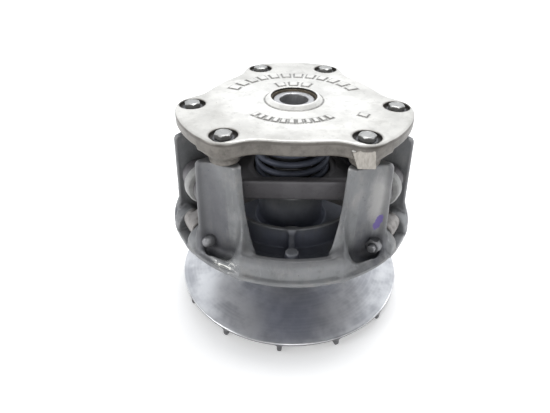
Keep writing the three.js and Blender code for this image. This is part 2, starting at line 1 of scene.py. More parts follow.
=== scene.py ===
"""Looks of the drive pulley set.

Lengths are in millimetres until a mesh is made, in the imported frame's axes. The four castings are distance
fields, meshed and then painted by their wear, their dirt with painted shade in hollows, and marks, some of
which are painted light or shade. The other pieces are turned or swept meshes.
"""

import math

import bpy
import numpy as np
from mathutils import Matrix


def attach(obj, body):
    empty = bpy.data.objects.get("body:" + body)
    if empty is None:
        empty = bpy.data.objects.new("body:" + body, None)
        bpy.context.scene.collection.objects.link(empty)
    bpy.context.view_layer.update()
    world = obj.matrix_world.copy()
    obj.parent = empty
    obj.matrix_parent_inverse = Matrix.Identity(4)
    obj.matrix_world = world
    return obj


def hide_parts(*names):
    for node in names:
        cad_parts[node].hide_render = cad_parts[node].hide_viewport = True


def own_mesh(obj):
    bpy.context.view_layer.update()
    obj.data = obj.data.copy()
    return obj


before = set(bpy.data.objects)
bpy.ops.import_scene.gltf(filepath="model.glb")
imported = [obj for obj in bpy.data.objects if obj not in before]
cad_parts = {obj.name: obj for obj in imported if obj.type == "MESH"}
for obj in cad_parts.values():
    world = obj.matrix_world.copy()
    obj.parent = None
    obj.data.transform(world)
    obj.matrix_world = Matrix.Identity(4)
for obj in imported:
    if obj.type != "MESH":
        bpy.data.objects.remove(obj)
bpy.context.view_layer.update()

import openvdb
from mathutils import Matrix, Vector

MM = 0.001
FIXED, MOVING = "fixed_half", "moveable_half"
POCKET_ANGLES = [90, 210, 330]
WINDOW_ANGLE = POCKET_ANGLES[0] - 60
TRAVEL = 31
SWING = 60  # degrees that a flyweight turns over the travel

# Sizes of the frame's nodes. X and Y are along and across a pocket.
FACE_SLOPE = math.tan(math.radians(14))
FACE_FLAT_R = 40
FIXED_R, FIXED_RIM_Z, FIXED_BORE_R = 104, 11, 20.1
FIN_COUNT, FIN_AZIMUTH, FIN_HALF = 13, 265.3, 2.1
MOVEABLE_R, MOVEABLE_BORE_R, LIP_Z = 104.5, 24.6, 76.8
LEDGE_Z, BAND_TOP_Z, FLOOR_Z = 86, 97.5, 80
PLATE_INNER, PLATE_OUTER, COLUMN_R, TOWER_TOP_Z = 20.3, 24.8, 8.5, 159.7
BOLT_X, BOLT_Y = 73.2, 29.7
PIVOT_X, PIVOT_Z = 89.5, 89.5
ROLLER_X, ROLLER_Z, ROLLER_R, ROLLER_HALF = 79.5, 125, 15.8, 4.2
TINE_R, TINE_INNER, TINE_OUTER, FORK_ROOT = 12.4, 5.8, 18.6, 66
BAR_INRADIUS, BAR_BASE_Z, BAR_TOP_Z, TRAY_FLOOR_Z = 50, 116.9, 134.3, 121
SPIDER_BASE_Z, CUP_FLOOR_Z, CUP_R, THREAD_BORE_R = 109.3, 113, 33, 19.15
COVER_BASE_Z, SKIRT_BASE_Z, CEILING_Z, COVER_TOP_Z, BOSS_TOP_Z = 160, 166.5, 172.5, 178.9, 182.1
BOSS_R, COUNTERBORE_R, COUNTERBORE_Z = 11, 9.95, 175.3
HEEL_R, BLADE_HALF = 8.2, 4.6
HEX_FLATS = 11.1


# ---- distance fields ----

def outline_distance(points, u, v):
    """Distance from (u, v) to a closed outline, negative inside."""
    shape = np.broadcast(u, v).shape
    nearest = np.full(shape, 1e9, np.float32)
    inside = np.zeros(shape, bool)
    for (ax, ay), (bx, by) in zip(points, points[1:] + points[:1]):
        ex, ey = bx - ax, by - ay
        along = np.clip(((u - ax) * ex + (v - ay) * ey) / (ex * ex + ey * ey + 1e-12), 0, 1)
        nearest = np.minimum(nearest, (u - ax - along * ex) ** 2 + (v - ay - along * ey) ** 2)
        if ay != by:
            crosses = (ay > v) != (by > v)
            inside ^= crosses & (u < ex * (v - ay) / ey + ax)
    return np.where(inside, -1, 1).astype(np.float32) * np.sqrt(nearest)


def softened(table, width, pitch):
    """A table of distances with its corners rounded, blurred over width."""
    if width <= 0:
        return table
    reach = math.ceil(3 * width / pitch)
    weights = np.exp(-0.5 * (np.arange(-reach, reach + 1) * pitch / width) ** 2)
    weights /= weights.sum()
    for axis in (0, 1):
        pad = [(reach, reach) if a == axis else (0, 0) for a in (0, 1)]
        padded = np.pad(table, pad, mode="edge")
        size = table.shape[axis]
        table = sum(w * np.take(padded, range(i, i + size), axis) for i, w in enumerate(weights))
    return table.astype(np.float32)


def swept(points, u, z, soften=0.5):
    """Distance to a (u, z) outline, where u is a field over x and y: turned and thickened shapes."""
    pitch = 0.25
    us = np.arange(float(u.min()) - 1, float(u.max()) + 1, pitch, dtype=np.float32)
    zs = np.arange(float(z.min()) - 1, float(z.max()) + 1, pitch, dtype=np.float32)
    table = softened(outline_distance(points, us[:, None], zs[None, :]), soften, pitch)
    row = (z - zs[0]) / pitch
    low = row.astype(int)
    part = (row - low).astype(np.float32)
    table = table[:, low] * (1 - part) + table[:, low + 1] * part
    place = (u - us[0]) / pitch
    low = place.astype(int)
    part = (place - low).astype(np.float32)[..., None]
    return table[low] * (1 - part) + table[low + 1] * part


def both(a, b, k=0.0):
    """Where two shapes overlap, with edges rounded over k."""
    if k <= 0:
        return np.maximum(a, b)
    h = np.maximum(k - np.abs(a - b), 0) / k
    return np.maximum(a, b) + h * h * (k / 4)


def either(a, b, k=0.0):
    """Two shapes joined, with a fillet of about k."""
    return -both(-a, -b, k)


def without(a, b, k=0.0):
    return both(a, -b, k)


def rise(value, low, high):
    """Eases from 0 to 1 as the value goes from low to high."""
    t = np.clip((value - low) / (high - low), 0, 1)
    return t * t * (3 - 2 * t)


def span(v, low, high):
    """Distance to the slab low < v < high."""
    return np.abs(v - (low + high) / 2) - (high - low) / 2


def fold(x, y, first=POCKET_ANGLES[0]):
    """Distances along and across the nearest of three directions, 120 degrees apart."""
    turn = np.arctan2(y, x) - math.radians(first)
    turn -= math.radians(120) * np.round(turn / math.radians(120))
    r = np.hypot(x, y)
    return r * np.cos(turn), r * np.sin(turn)


class Block:
    """A regular block of sample points around a piece, with the fields its shapes are drawn in."""

    def __init__(self, low, high, step):
        self.step = step
        self.low = [value - 3 * step for value in low]
        axes = [
            np.arange(start, stop + 4 * step, step, dtype=np.float32)
            for start, stop in zip(self.low, high)
        ]
        self.x, self.y = np.meshgrid(axes[0], axes[1], indexing="ij")
        self.z = axes[2]
        self.r = np.hypot(self.x, self.y)
        self.along, self.across = fold(self.x, self.y)
        self.side = np.abs(self.across)
        self.window, self.beside = fold(self.x, self.y, WINDOW_ANGLE)
        self.beside = np.abs(self.beside)

    def raised(self, plan, low, high, k=0.8):
        """A plan over x and y between two heights."""
        return both(plan[..., None], span(self.z, low, high), k)

    def post(self, x, y, radius, low, high, k=0.8):
        return self.raised(np.hypot(self.along - x, self.side - y) - radius, low, high, k)

    def thick(self, points, u, v, low, high, k=0.8, soften=0.5):
        """A (u, z) outline between two values of v."""
        return both(swept(points, u, self.z, soften), span(v, low, high)[..., None], k)

    def bore(self, radius, low, high):
        """A round hole on the shaft's axis."""
        return both(self.r[..., None] - radius, span(self.z, low, high))

    def hexagon(self, flats, turn, low, high, k):
        angle = np.arctan2(self.y, self.x) - math.radians(turn)
        angle -= math.radians(60) * np.round(angle / math.radians(60))
        return self.raised(self.r * np.cos(angle) - flats / 2, low, high, k)

    def chamfer(self, radius, z):
        """Distance to a 30 degree cone through a radius at the height where z is 0."""
        return (self.r - radius)[..., None] * 0.5 + z * 0.87

    def cross_hole(self, x, z, radius):
        """A bore across every pocket."""
        return np.hypot(self.along[..., None] - x, self.z - z) - radius


def trilinear(field, place):
    """Values of a field at fractional places."""
    low = np.clip(place.astype(int), 0, np.array(field.shape) - 2)
    part = (place - low).astype(np.float32)
    total = 0
    for corner in range(8):
        step = np.array([corner & 1, corner >> 1 & 1, corner >> 2 & 1])
        weight = np.prod(np.where(step == 1, part, 1 - part), axis=1)
        at = low + step
        total = total + weight * field[at[:, 0], at[:, 1], at[:, 2]]
    return total


def crowding(field, step, radius):
    """How much solid lies within radius of each point: over 0 in hollows, below 0 on edges."""
    solid = np.clip(0.5 - field / step, 0, 1).astype(np.float32)
    reach = max(1, round(radius / step))
    for axis in (0, 1, 2, 0, 1, 2):
        pad = [(reach + 1, reach) if a == axis else (0, 0) for a in range(3)]
        total = np.cumsum(np.pad(solid, pad), axis=axis, dtype=np.float32)
        size = solid.shape[axis]
        ahead = np.take(total, range(2 * reach + 1, 2 * reach + 1 + size), axis)
        solid = (ahead - np.take(total, range(size), axis)) / (2 * reach + 1)
    return 2 * solid - 1


def decimated(mesh, limit):
    """The mesh with at most limit triangles."""
    count = sum(len(p.vertices) - 2 for p in mesh.polygons)
    if count <= limit:
        return mesh
    holder = bpy.data.objects.new("holder", mesh)
    bpy.context.scene.collection.objects.link(holder)
    holder.modifiers.new("fewer", "DECIMATE").ratio = limit / count
    graph = bpy.context.evaluated_depsgraph_get()
    thin = bpy.data.meshes.new_from_object(holder.evaluated_get(graph))
    bpy.data.objects.remove(holder)
    return thin


def skin(name, block, field, limit, wear_radius=2.0, dirt_and_shade_radius=9.0, marks=None):
    """A smooth mesh of the field's surface, with wear, dirt with painted shade in hollows, and its own marks
    stored on its points.
    """
    step = block.step
    grid = openvdb.FloatGrid(3.0 * step)
    grid.copyFromArray(np.clip(field, -3 * step, 3 * step).astype(np.float32))
    points, triangles, quads = grid.convertToPolygons()
    mesh = bpy.data.meshes.new(name)
    mesh.from_pydata(points.tolist(), [], triangles.tolist() + quads.tolist())
    mesh = decimated(mesh, limit)
    place = np.empty(len(mesh.vertices) * 3, np.float32)
    mesh.vertices.foreach_get("co", place)
    place = place.reshape(-1, 3)

    def slope(at):
        around = [trilinear(field, at + d) - trilinear(field, at - d) for d in np.eye(3) * 0.5]
        normal = np.stack(around, axis=1)
        return normal / np.maximum(np.linalg.norm(normal, axis=1, keepdims=True), 1e-6)

    for _ in range(2):
        place = place - slope(place) * (trilinear(field, place) / step)[:, None]
    normals = slope(place)
    store(mesh, "wear", -trilinear(crowding(field, step, wear_radius), place))
    # How hollow each point is, for dirt and painted shade.
    store(mesh, "dirt_and_shade", trilinear(crowding(field, step, dirt_and_shade_radius), place))
    place = place * step + np.array(block.low, np.float32)
    for label, mark in (marks or {}).items():
        store(mesh, label, mark(*place.T, *normals.T))
    mesh.vertices.foreach_set("co", (place * MM).astype(np.float32).ravel())
    mesh.polygons.foreach_set("use_smooth", np.ones(len(mesh.polygons), bool))
    mesh.update()
    mesh.normals_split_custom_set_from_vertices(normals.tolist())
    return put(name, mesh)


def store(mesh, name, values):
    layer = mesh.attributes.new(name, "FLOAT", "POINT")
    layer.data.foreach_set("value", np.asarray(values, np.float32))


def put(name, mesh):
    piece = bpy.data.objects.new(name, mesh)
    bpy.context.scene.collection.objects.link(piece)
    return piece


def dress(piece, body, material, slot, *nodes):
    """The piece's material, the body it moves with and the CAD nodes it stands for."""
    piece.data.materials.clear()
    piece.data.materials.append(material)
    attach(piece, body)
    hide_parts(*nodes)


# ---- turned and swept meshes ----

def eased(profile, radius):
    """A closed profile with every corner cut by a small round."""
    points = []
    count = len(profile)
    for i, corner in enumerate(profile):
        here, before, after = (Vector(p) for p in (corner, profile[i - 1], profile[(i + 1) % count]))
        back, ahead = before - here, after - here
        cut = min(radius, back.length * 0.45, ahead.length * 0.45)
        if corner[0] < 1e-6 or cut < 1e-4:
            points.append(tuple(here))
            continue
        start, stop = here + back.normalized() * cut, here + ahead.normalized() * cut
        for t in (0, 0.25, 0.5, 0.75, 1):
            points.append(tuple(start * (1 - t) ** 2 + here * 2 * t * (1 - t) + stop * t * t))
    return points


def area_of(points):
    return sum(a[0] * b[1] - b[0] * a[1] for a, b in zip(points, points[1:] + points[:1])) / 2


def smooth_piece(name, verts, faces, crisp=35):
    """A smooth piece, with hard edges where two faces meet at more than an angle."""
    mesh = bpy.data.meshes.new(name)
    mesh.from_pydata(verts, [], faces)
    mesh.update()
    mesh.shade_smooth()
    mesh.set_sharp_from_angle(angle=math.radians(crisp))
    return put(name, mesh)


def box_profile(inner, outer, low, high):
    """The profile of a ring, or of a rod where inner is 0."""
    return [(inner, low), (outer, low), (outer, high), (inner, high)]


def turned_mesh(name, profile, ease, facets, place=Matrix()):
    """A closed (radius, height) profile turned about its axis, then set in place."""
    points = eased(profile, ease)
    if area_of(points) < 0:
        points.reverse()
    verts, faces, rows = [], [], []
    for radius, height in points:
        if radius < 1e-6:
            rows.append([len(verts)] * facets)
            verts.append((0, 0, height))
            continue
        rows.append(list(range(len(verts), len(verts) + facets)))
        for i in range(facets):
            angle = 2 * math.pi * i / facets
            verts.append((radius * math.cos(angle), radius * math.sin(angle), height))
    for low, high in zip(rows, rows[1:] + rows[:1]):
        for i in range(facets):
            j = (i + 1) % facets
            loop = list(dict.fromkeys([low[i], low[j], high[j], high[i]]))
            if len(loop) > 2:
                faces.append(loop)
    return smooth_piece(name, [place @ Vector(v) * MM for v in verts], faces)


def pocket_place(index, x=0.0, y=0.0, z=0.0, crosswise=False):
    """A place in one pocket's own frame, with the piece's axis along the shaft or across the pocket."""
    place = Matrix.Rotation(math.radians(POCKET_ANGLES[index]), 4, "Z") @ Matrix.Translation((x, y, z))
    return place @ Matrix.Rotation(-math.pi / 2, 4, "X") if crosswise else place


def moved(piece, place):
    """The piece's mesh moved by a matrix in millimetres."""
    shift = place.copy()
    shift.translation *= MM
    piece.data.transform(shift)


# ---- materials ----

def fill(node, sockets):
    """Gives each named socket of a node a link or a constant."""
    for key, value in sockets.items():
        if isinstance(value, bpy.types.NodeSocket):
            node.id_data.links.new(value, node.inputs[key])
        else:
            node.inputs[key].default_value = value
    return node


class Paint:
    """One procedural material, built a node at a time. Object coordinates are the row frame's, in metres."""

    def __init__(self, name, metallic):
        self.material = bpy.data.materials.new(name)
        self.material.use_nodes = True
        self.tree = self.material.node_tree
        self.shader = self.tree.nodes["Principled BSDF"]
        fill(self.shader, {"Metallic": metallic})
        self.coords = self.node("ShaderNodeTexCoord").outputs["Object"]
        self.colour = None
        self.normal = None

    def node(self, kind, sockets=None, **settings):
        made = self.tree.nodes.new(kind)
        for key, value in settings.items():
            setattr(made, key, value)
        return fill(made, sockets or {})

    def noise(self, size, detail=4.0, roughness=0.55, stretch=None, turn=0.0):
        """Noise in blobs about size millimetres across, longer by 1 / stretch along axes turned about Z."""
        coords = self.coords
        if stretch:
            coords = self.mapped((0, 0, 0), (0, 0, turn), [1 / value for value in stretch])
        sockets = {"Vector": coords, "Scale": 1 / (size * MM), "Detail": detail, "Roughness": roughness}
        return self.node("ShaderNodeTexNoise", sockets).outputs["Fac"]

    def cells(self, size):
        """Distance from the nearest of scattered points about size millimetres apart."""
        sockets = {"Vector": self.coords, "Scale": 1 / (size * MM)}
        return self.node("ShaderNodeTexVoronoi", sockets).outputs["Distance"]

    def attribute(self, name):
        return self.node("ShaderNodeAttribute", attribute_name=name).outputs["Fac"]

    def math(self, operation, a, b=0.0):
        return self.node("ShaderNodeMath", {0: a, 1: b}, operation=operation).outputs[0]

    def level(self, value, low, high, to_low=0.0, to_high=1.0):
        """The value eased from low..high to to_low..to_high, and clamped."""
        sockets = {"Value": value, "From Min": low, "From Max": high, "To Min": to_low, "To Max": to_high}
        return self.node("ShaderNodeMapRange", sockets, interpolation_type="SMOOTHSTEP").outputs["Result"]

    def mix(self, factor, a, b):
        a, b = ((*value, 1.0) if isinstance(value, tuple) else value for value in (a, b))
        return self.node("ShaderNodeMix", {0: factor, 6: a, 7: b}, data_type="RGBA").outputs[2]

    def over(self, factor, colour):
        """Lays a colour over what is there."""
        self.colour = self.mix(factor, self.colour, colour)

    def mapped(self, middle, turn, scale):
        """Object coordinates seen from a turned and scaled frame."""
        place, turn = [value * MM for value in middle], [math.radians(value) for value in turn]
        sockets = {"Vector": self.coords, "Location": place, "Rotation": turn, "Scale": scale}
        return self.node("ShaderNodeMapping", sockets, vector_type="TEXTURE").outputs["Vector"]

    def blob(self, middle, turn, radii):
        """Distance from a point, as a share of an ellipsoid's radii in millimetres."""
        inside = self.mapped(middle, turn, [value * MM for value in radii])
        return self.node("ShaderNodeVectorMath", {0: inside}, operation="LENGTH").outputs["Value"]

    def hairlines(self, size, turn):
        """Long fine scratches along one direction."""
        field = self.noise(size, 2, 0.5, stretch=(0.05, 1, 0.5), turn=turn)
        return self.level(self.math("ABSOLUTE", self.math("SUBTRACT", field, 0.5)), 0, 0.012, 1, 0)

    def place(self):
        """Radius and height in the row frame, in metres."""
        x, y, z = self.node("ShaderNodeSeparateXYZ", {0: self.coords}).outputs
        square = self.math("ADD", self.math("MULTIPLY", x, x), self.math("MULTIPLY", y, y))
        return self.math("SQRT", square), z

    def bump(self, height, depth, strength):
        """Relief of the given depth in millimetres, on top of what is there."""
        sockets = {"Strength": strength, "Distance": depth * MM, "Height": height}
        if self.normal is not None:
            sockets["Normal"] = self.normal
        self.normal = self.node("ShaderNodeBump", sockets).outputs["Normal"]

    def done(self, roughness):
        fill(self.shader, {"Base Color": self.colour, "Roughness": roughness})
        if self.normal is not None:
            fill(self.shader, {"Normal": self.normal})
        return self.material


def shade(colour, share):
    return tuple(part * share for part in colour)


def cast_layers(paint, base, bright, grime_and_shade, dirt_and_shade, edge=0.8):
    """Sand-cast metal: mottled, pale on worn edges, grimy and darkened by painted shade in hollows. Gives a
    field for its roughness.
    """
    broad = paint.noise(28, 5)
    blotch = paint.noise(6, 6, 0.62)
    grain = paint.noise(0.9, 3, 0.6)
    fine = paint.noise(2.2, 5, 0.7)
    paint.colour = paint.mix(paint.level(broad, 0.35, 0.68), shade(base, 0.84), shade(base, 1.14))
    paint.over(paint.level(blotch, 0.5, 0.75, 0, 0.5), shade(base, 0.6))
    paint.over(paint.level(fine, 0.58, 0.74, 0, 0.35), shade(base, 1.5))
    worn = paint.math("ADD", paint.attribute("wear"), paint.math("MULTIPLY", blotch, 0.3))
    paint.over(paint.level(worn, 0.42, 0.72, 0, edge), bright)
    # Painted shade with grime: hollows darkened towards the grime colour.
    hollow = paint.math("ADD", paint.attribute("dirt_and_shade"), paint.math("MULTIPLY", broad, 0.25))
    paint.over(paint.level(hollow, 0.12, 0.62, 0, dirt_and_shade), grime_and_shade)
    pits = paint.level(paint.cells(5.5), 0.035, 0.09)
    paint.over(paint.math("SUBTRACT", 1.0, pits), shade(base, 0.35))
    paint.bump(grain, 0.10, 0.6)
    paint.bump(fine, 0.12, 0.5)
    paint.bump(pits, 0.25, 0.6)
    return paint.math("ADD", grain, hollow)


def spider_paint():
    """Darker casting with bare edges."""
    paint = Paint("spider_cast", 0.35)
    uneven = cast_layers(paint, (0.125, 0.12, 0.127), (0.33, 0.32, 0.315), (0.055, 0.056, 0.07), 0.75)
    return paint.done(paint.level(uneven, 0.2, 1.2, 0.47, 0.75))


def moveable_paint():
    """Tower and sheave casting, with draw marks, scraped patches, a paint dab, the turned belt face, painted
    light on the front-right plate, painted shade on the front-left plate and a painted bluish shade tone
    inside the ring of towers.
    """
    paint = Paint("moveable_cast", 0.4)
    uneven = cast_layers(paint, (0.195, 0.2, 0.206), (0.5, 0.5, 0.5), (0.06, 0.062, 0.075), 0.8, 0.95)
    tan = paint.noise(11, 6, 0.66, stretch=(1, 1, 0.6))
    paint.over(paint.level(tan, 0.48, 0.7, 0, 0.4), (0.30, 0.287, 0.27))
    draw = paint.noise(1.4, 4, 0.6, stretch=(1, 1, 0.1))
    paint.over(paint.level(draw, 0.55, 0.75, 0, 0.22), (0.38, 0.38, 0.37))
    scrape = paint.math("MAXIMUM", paint.hairlines(3.0, -30), paint.hairlines(2.2, -44))
    paint.over(paint.math("MULTIPLY", scrape, paint.attribute("scuff")), (0.9, 0.9, 0.85))
    turned = paint.mix(paint.level(paint.noise(5, 5, 0.6), 0.4, 0.7), (0.38, 0.38, 0.39), (0.27, 0.27, 0.28))
    paint.over(paint.attribute("machined"), turned)
    # Painted bluish shade tone, over belt dust and oil, inside the ring of towers.
    paint.over(paint.math("MULTIPLY", paint.attribute("well_dust_and_shade"), 0.7), (0.23, 0.25, 0.33))
    oil = paint.math("MULTIPLY", paint.attribute("stain"), paint.level(tan, 0.3, 0.55, 0.9, 0.6))
    paint.over(oil, (0.055, 0.056, 0.07))
    # Painted light: a lighter patch high on the front-right plate.
    lit_plate = paint.blob((60.3, -63.5, 130), (0, 0, 330), (13, 10, 30))
    lit_plate = paint.math("ADD", lit_plate, paint.level(tan, 0.3, 0.7, 0, 0.5))
    paint.over(paint.level(lit_plate, 0.5, 1.4, 0.6, 0), (0.45, 0.44, 0.425))
    # Painted shade: the front-left plate darkened.
    shaded_plate = paint.blob((-60.3, -63.5, 125), (0, 0, 210), (26, 14, 50))
    paint.over(paint.level(shaded_plate, 0.5, 1.15, 0.55, 0), (0.10, 0.10, 0.11))
    out, height = paint.place()
    sill = paint.math("MULTIPLY", paint.level(out, 0.092, 0.095), paint.level(height, 0.09, 0.096))
    paint.over(paint.math("MULTIPLY", sill, 0.5), (0.09, 0.09, 0.095))
    ragged = paint.math("MULTIPLY", paint.noise(2.5, 4, 0.6), 0.9)
    dab = paint.math("ADD", paint.blob((64.6, -65.9, 109.5), (0, 17, 330), (3.0, 5, 9)), ragged)
    paint.over(paint.level(dab, 1.25, 1.4, 0.92, 0), (0.12, 0.085, 0.27))
    paint.bump(draw, 0.05, 0.5)
    return paint.done(paint.level(uneven, 0.2, 1.2, 0.46, 0.7))


def cover_paint():
    """Pale satin casting, with a film and painted shade in the counterbores and the centre boss's throat, a
    brown skirt, a painted contact shadow round each raised bar and one spot-faced flat.
    """
    paint = Paint("cover_cast", 0.15)
    uneven = cast_layers(paint, (0.77, 0.76, 0.73), (0.82, 0.815, 0.80), (0.22, 0.19, 0.15), 0.5, 0.4)
    out, height = paint.place()
    # Greyer towards the rim, in blotches.
    rim_grey = paint.level(paint.noise(16, 6, 0.65), 0.45, 0.8, 0, 0.45)
    rim_grey = paint.math("MULTIPLY", rim_grey, paint.level(out, 0.038, 0.06, 0.25, 1))
    paint.over(paint.math("ADD", paint.level(out, 0.036, 0.078, 0, 0.42), rim_grey), (0.40, 0.39, 0.36))
    smear = paint.level(paint.noise(9, 6, 0.7), 0.3, 0.62)
    skirt = paint.mix(smear, (0.083, 0.076, 0.065), (0.165, 0.15, 0.133))
    grime_and_shade = paint.attribute("grime_and_shade")
    # Brown film on the skirt, and painted shade with film round the counterbores.
    paint.over(paint.level(grime_and_shade, 0.02, 0.45), skirt)
    # Painted shade with a dark film: near black in the counterbores and the boss's throat.
    paint.over(paint.level(grime_and_shade, 0.5, 0.95), (0.045, 0.043, 0.04))
    seam = paint.math("ABSOLUTE", paint.math("SUBTRACT", height, 0.1763))
    seam = paint.math("MULTIPLY", paint.level(seam, 0.0003, 0.0009, 0.85, 0), paint.level(out, 0.06, 0.065))
    paint.over(seam, (0.1, 0.09, 0.08))
    # Painted contact shadow round each raised bar and the centre boss.
    foot_shadow = paint.math("MULTIPLY", paint.attribute("foot_shadow"), paint.level(paint.noise(3, 3), 0.3, 0.5, 0.55, 1))
    paint.over(foot_shadow, (0.17, 0.165, 0.155))
    tool = paint.noise(1.5, 4, 0.6, stretch=(1, 1, 0.3))
    spot = paint.mix(paint.level(tool, 0.35, 0.7), (0.34, 0.315, 0.28), (0.47, 0.44, 0.40))
    paint.over(paint.attribute("machined"), spot)
    return paint.done(paint.level(uneven, 0.2, 1.2, 0.36, 0.6))


def sheave_paint():
    """Turned aluminium belt face: fine rings, smears and patches of tarnish, a painted dark reflection at the
    front centre, painted shade on the rim's side and fins, and dirt with painted shade in hollows.
    """
    paint = Paint("sheave_satin", 0.92)
    out, height = paint.place()
    sockets = {"W": paint.math("MULTIPLY", out, 420.0), "Scale": 1, "Detail": 0}
    rings = paint.node("ShaderNodeTexNoise", sockets, noise_dimensions="1D").outputs["Fac"]
    patch = paint.noise(24, 4, 0.55)
    smear = paint.noise(13, 3, 0.5)
    paint.colour = paint.mix(paint.level(patch, 0.34, 0.66), (0.71, 0.715, 0.73), (0.43, 0.435, 0.46))
    paint.over(paint.level(smear, 0.5, 0.75, 0, 0.4), (0.8, 0.805, 0.81))
    paint.over(paint.level(rings, 0.4, 0.75, 0, 0.2), (0.76, 0.765, 0.77))
    # Painted dark reflection: the front centre of the belt face darkened.
    front_dark_reflection = paint.level(paint.blob((2, -76, 18), (0, 0, 0), (44, 34, 40)), 0.3, 1.2, 0.45, 0)
    paint.over(front_dark_reflection, (0.33, 0.335, 0.365))
    paint.over(paint.level(paint.attribute("wear"), 0.3, 0.5, 0, 0.55), (0.85, 0.85, 0.86))
    # Painted shade with dirt: hollows of the belt face and fins darkened.
    paint.over(paint.level(paint.attribute("dirt_and_shade"), 0.1, 0.5, 0, 0.8), (0.06, 0.06, 0.065))
    # Painted shade: the rim's side and the fins, below about 10 mm, darker.
    paint.over(paint.level(height, 0.0092, 0.0108, 0.9, 0), (0.11, 0.11, 0.115))
    # Below 0.28 the denoiser draws a line around each patch.
    rough = paint.level(patch, 0.35, 0.7, 0.285, 0.33)
    rough = paint.math("ADD", rough, paint.level(smear, 0.5, 0.75, 0, 0.04))
    return paint.done(rough)


def steel_paint(name, base, metallic, roughness):
    """Turned or plated steel with fine tool marks and patches of tarnish."""
    paint = Paint(name, metallic)
    marks = paint.noise(0.6, 2, 0.5, stretch=(1, 1, 8))
    patch = paint.noise(4.5, 5, 0.62)
    paint.colour = paint.mix(paint.level(patch, 0.45, 0.72, 0, 0.35), base, shade(base, 0.35))
    paint.over(paint.level(marks, 0.55, 0.75, 0, 0.25), shade(base, 1.35))
    paint.bump(marks, 0.03, 0.5)
    rough = paint.level(paint.math("ADD", marks, patch), 0.7, 1.3, roughness - 0.08, roughness + 0.16)
    return paint.done(rough)


def plain_paint(name, base, metallic, roughness, fleck):
    """Painted, moulded or oiled surfaces with dust and fine unevenness."""
    paint = Paint(name, metallic)
    dust = paint.noise(6, 5, 0.6)
    grain = paint.noise(1.2, 4, 0.6)
    dusty = tuple(part * 1.7 + 0.02 for part in base)
    paint.colour = paint.mix(paint.level(dust, 0.4, 0.7, 0, fleck), base, dusty)
    paint.bump(grain, 0.05, 0.5)
    return paint.done(paint.level(dust, 0.3, 0.7, roughness - 0.07, roughness + 0.12))


weight_steel = steel_paint("weight_steel", (0.30, 0.285, 0.275), 0.6, 0.45)
shaft_steel = steel_paint("shaft_steel", (0.50, 0.50, 0.51), 0.9, 0.37)
zinc_steel = steel_paint("zinc_steel", (0.40, 0.40, 0.39), 0.8, 0.38)
dull_zinc = steel_paint("dull_zinc", (0.27, 0.27, 0.28), 0.8, 0.42)
dark_steel = steel_paint("dark_steel", (0.12, 0.12, 0.125), 0.8, 0.42)
bronze = steel_paint("bushing_bronze", (0.12, 0.10, 0.075), 0.7, 0.42)
spring_paint = plain_paint("spring_paint", (0.085, 0.096, 0.13), 0.2, 0.55, 0.3)
polymer = plain_paint("roller_polymer", (0.29, 0.29, 0.285), 0.0, 0.5, 0.4)


# ---- castings ----

def face_height(radius, rim_radius, rim_z, direction):
    """Height of a belt face: a cone that is flat near the shaft and rises or falls from the rim inwards."""
    return rim_z + direction * (rim_radius - max(radius, FACE_FLAT_R)) * FACE_SLOPE


def front_scuff(x, y, z, nx, ny, nz):
    """The scraped ledge and band left of the front window."""
    reach = np.hypot(np.hypot(x + 52, y + 83) / 18, (z - 87) / 10)
    return rise(1.2 - reach, 0, 0.7) * rise(nz - ny, 0.2, 1.0) * rise(np.hypot(x, y), 90, 94)


def well_dust_and_shade_mask(x, y, z, nx, ny, nz):
    """Belt dust and oil, with a painted bluish shade tone, inside the ring of towers."""
    r = np.hypot(x, y)
    _, beside = fold(x, y, WINDOW_ANGLE)
    inside = np.maximum(rise(66 - r, 0, 4), rise(94 - r, 0, 6) * rise(33 - np.abs(beside), 0, 6))
    return inside * rise(98 - z, 0, 8) * rise(z, 62, 66) * (1 - 0.4 * rise(nz, 0.7, 1.0))


def pivot_stain(x, y, z, nx, ny, nz):
    """Oil thrown out around the heads of the flyweight bolts."""
    ahead, across = fold(x, y)
    reach = np.hypot(ahead - 87, (z - 87) / 1.1)
    return rise(19 - reach, 0, 12) * rise(np.abs(across), 22, 23.5) * rise(44 - np.abs(across), 0, 8)


def belt_face(x, y, z, nx, ny, nz):
    """The turned face that the belt runs on."""
    return rise(-nz, 0.8, 0.9) * rise(np.hypot(x, y), 36, FACE_FLAT_R)


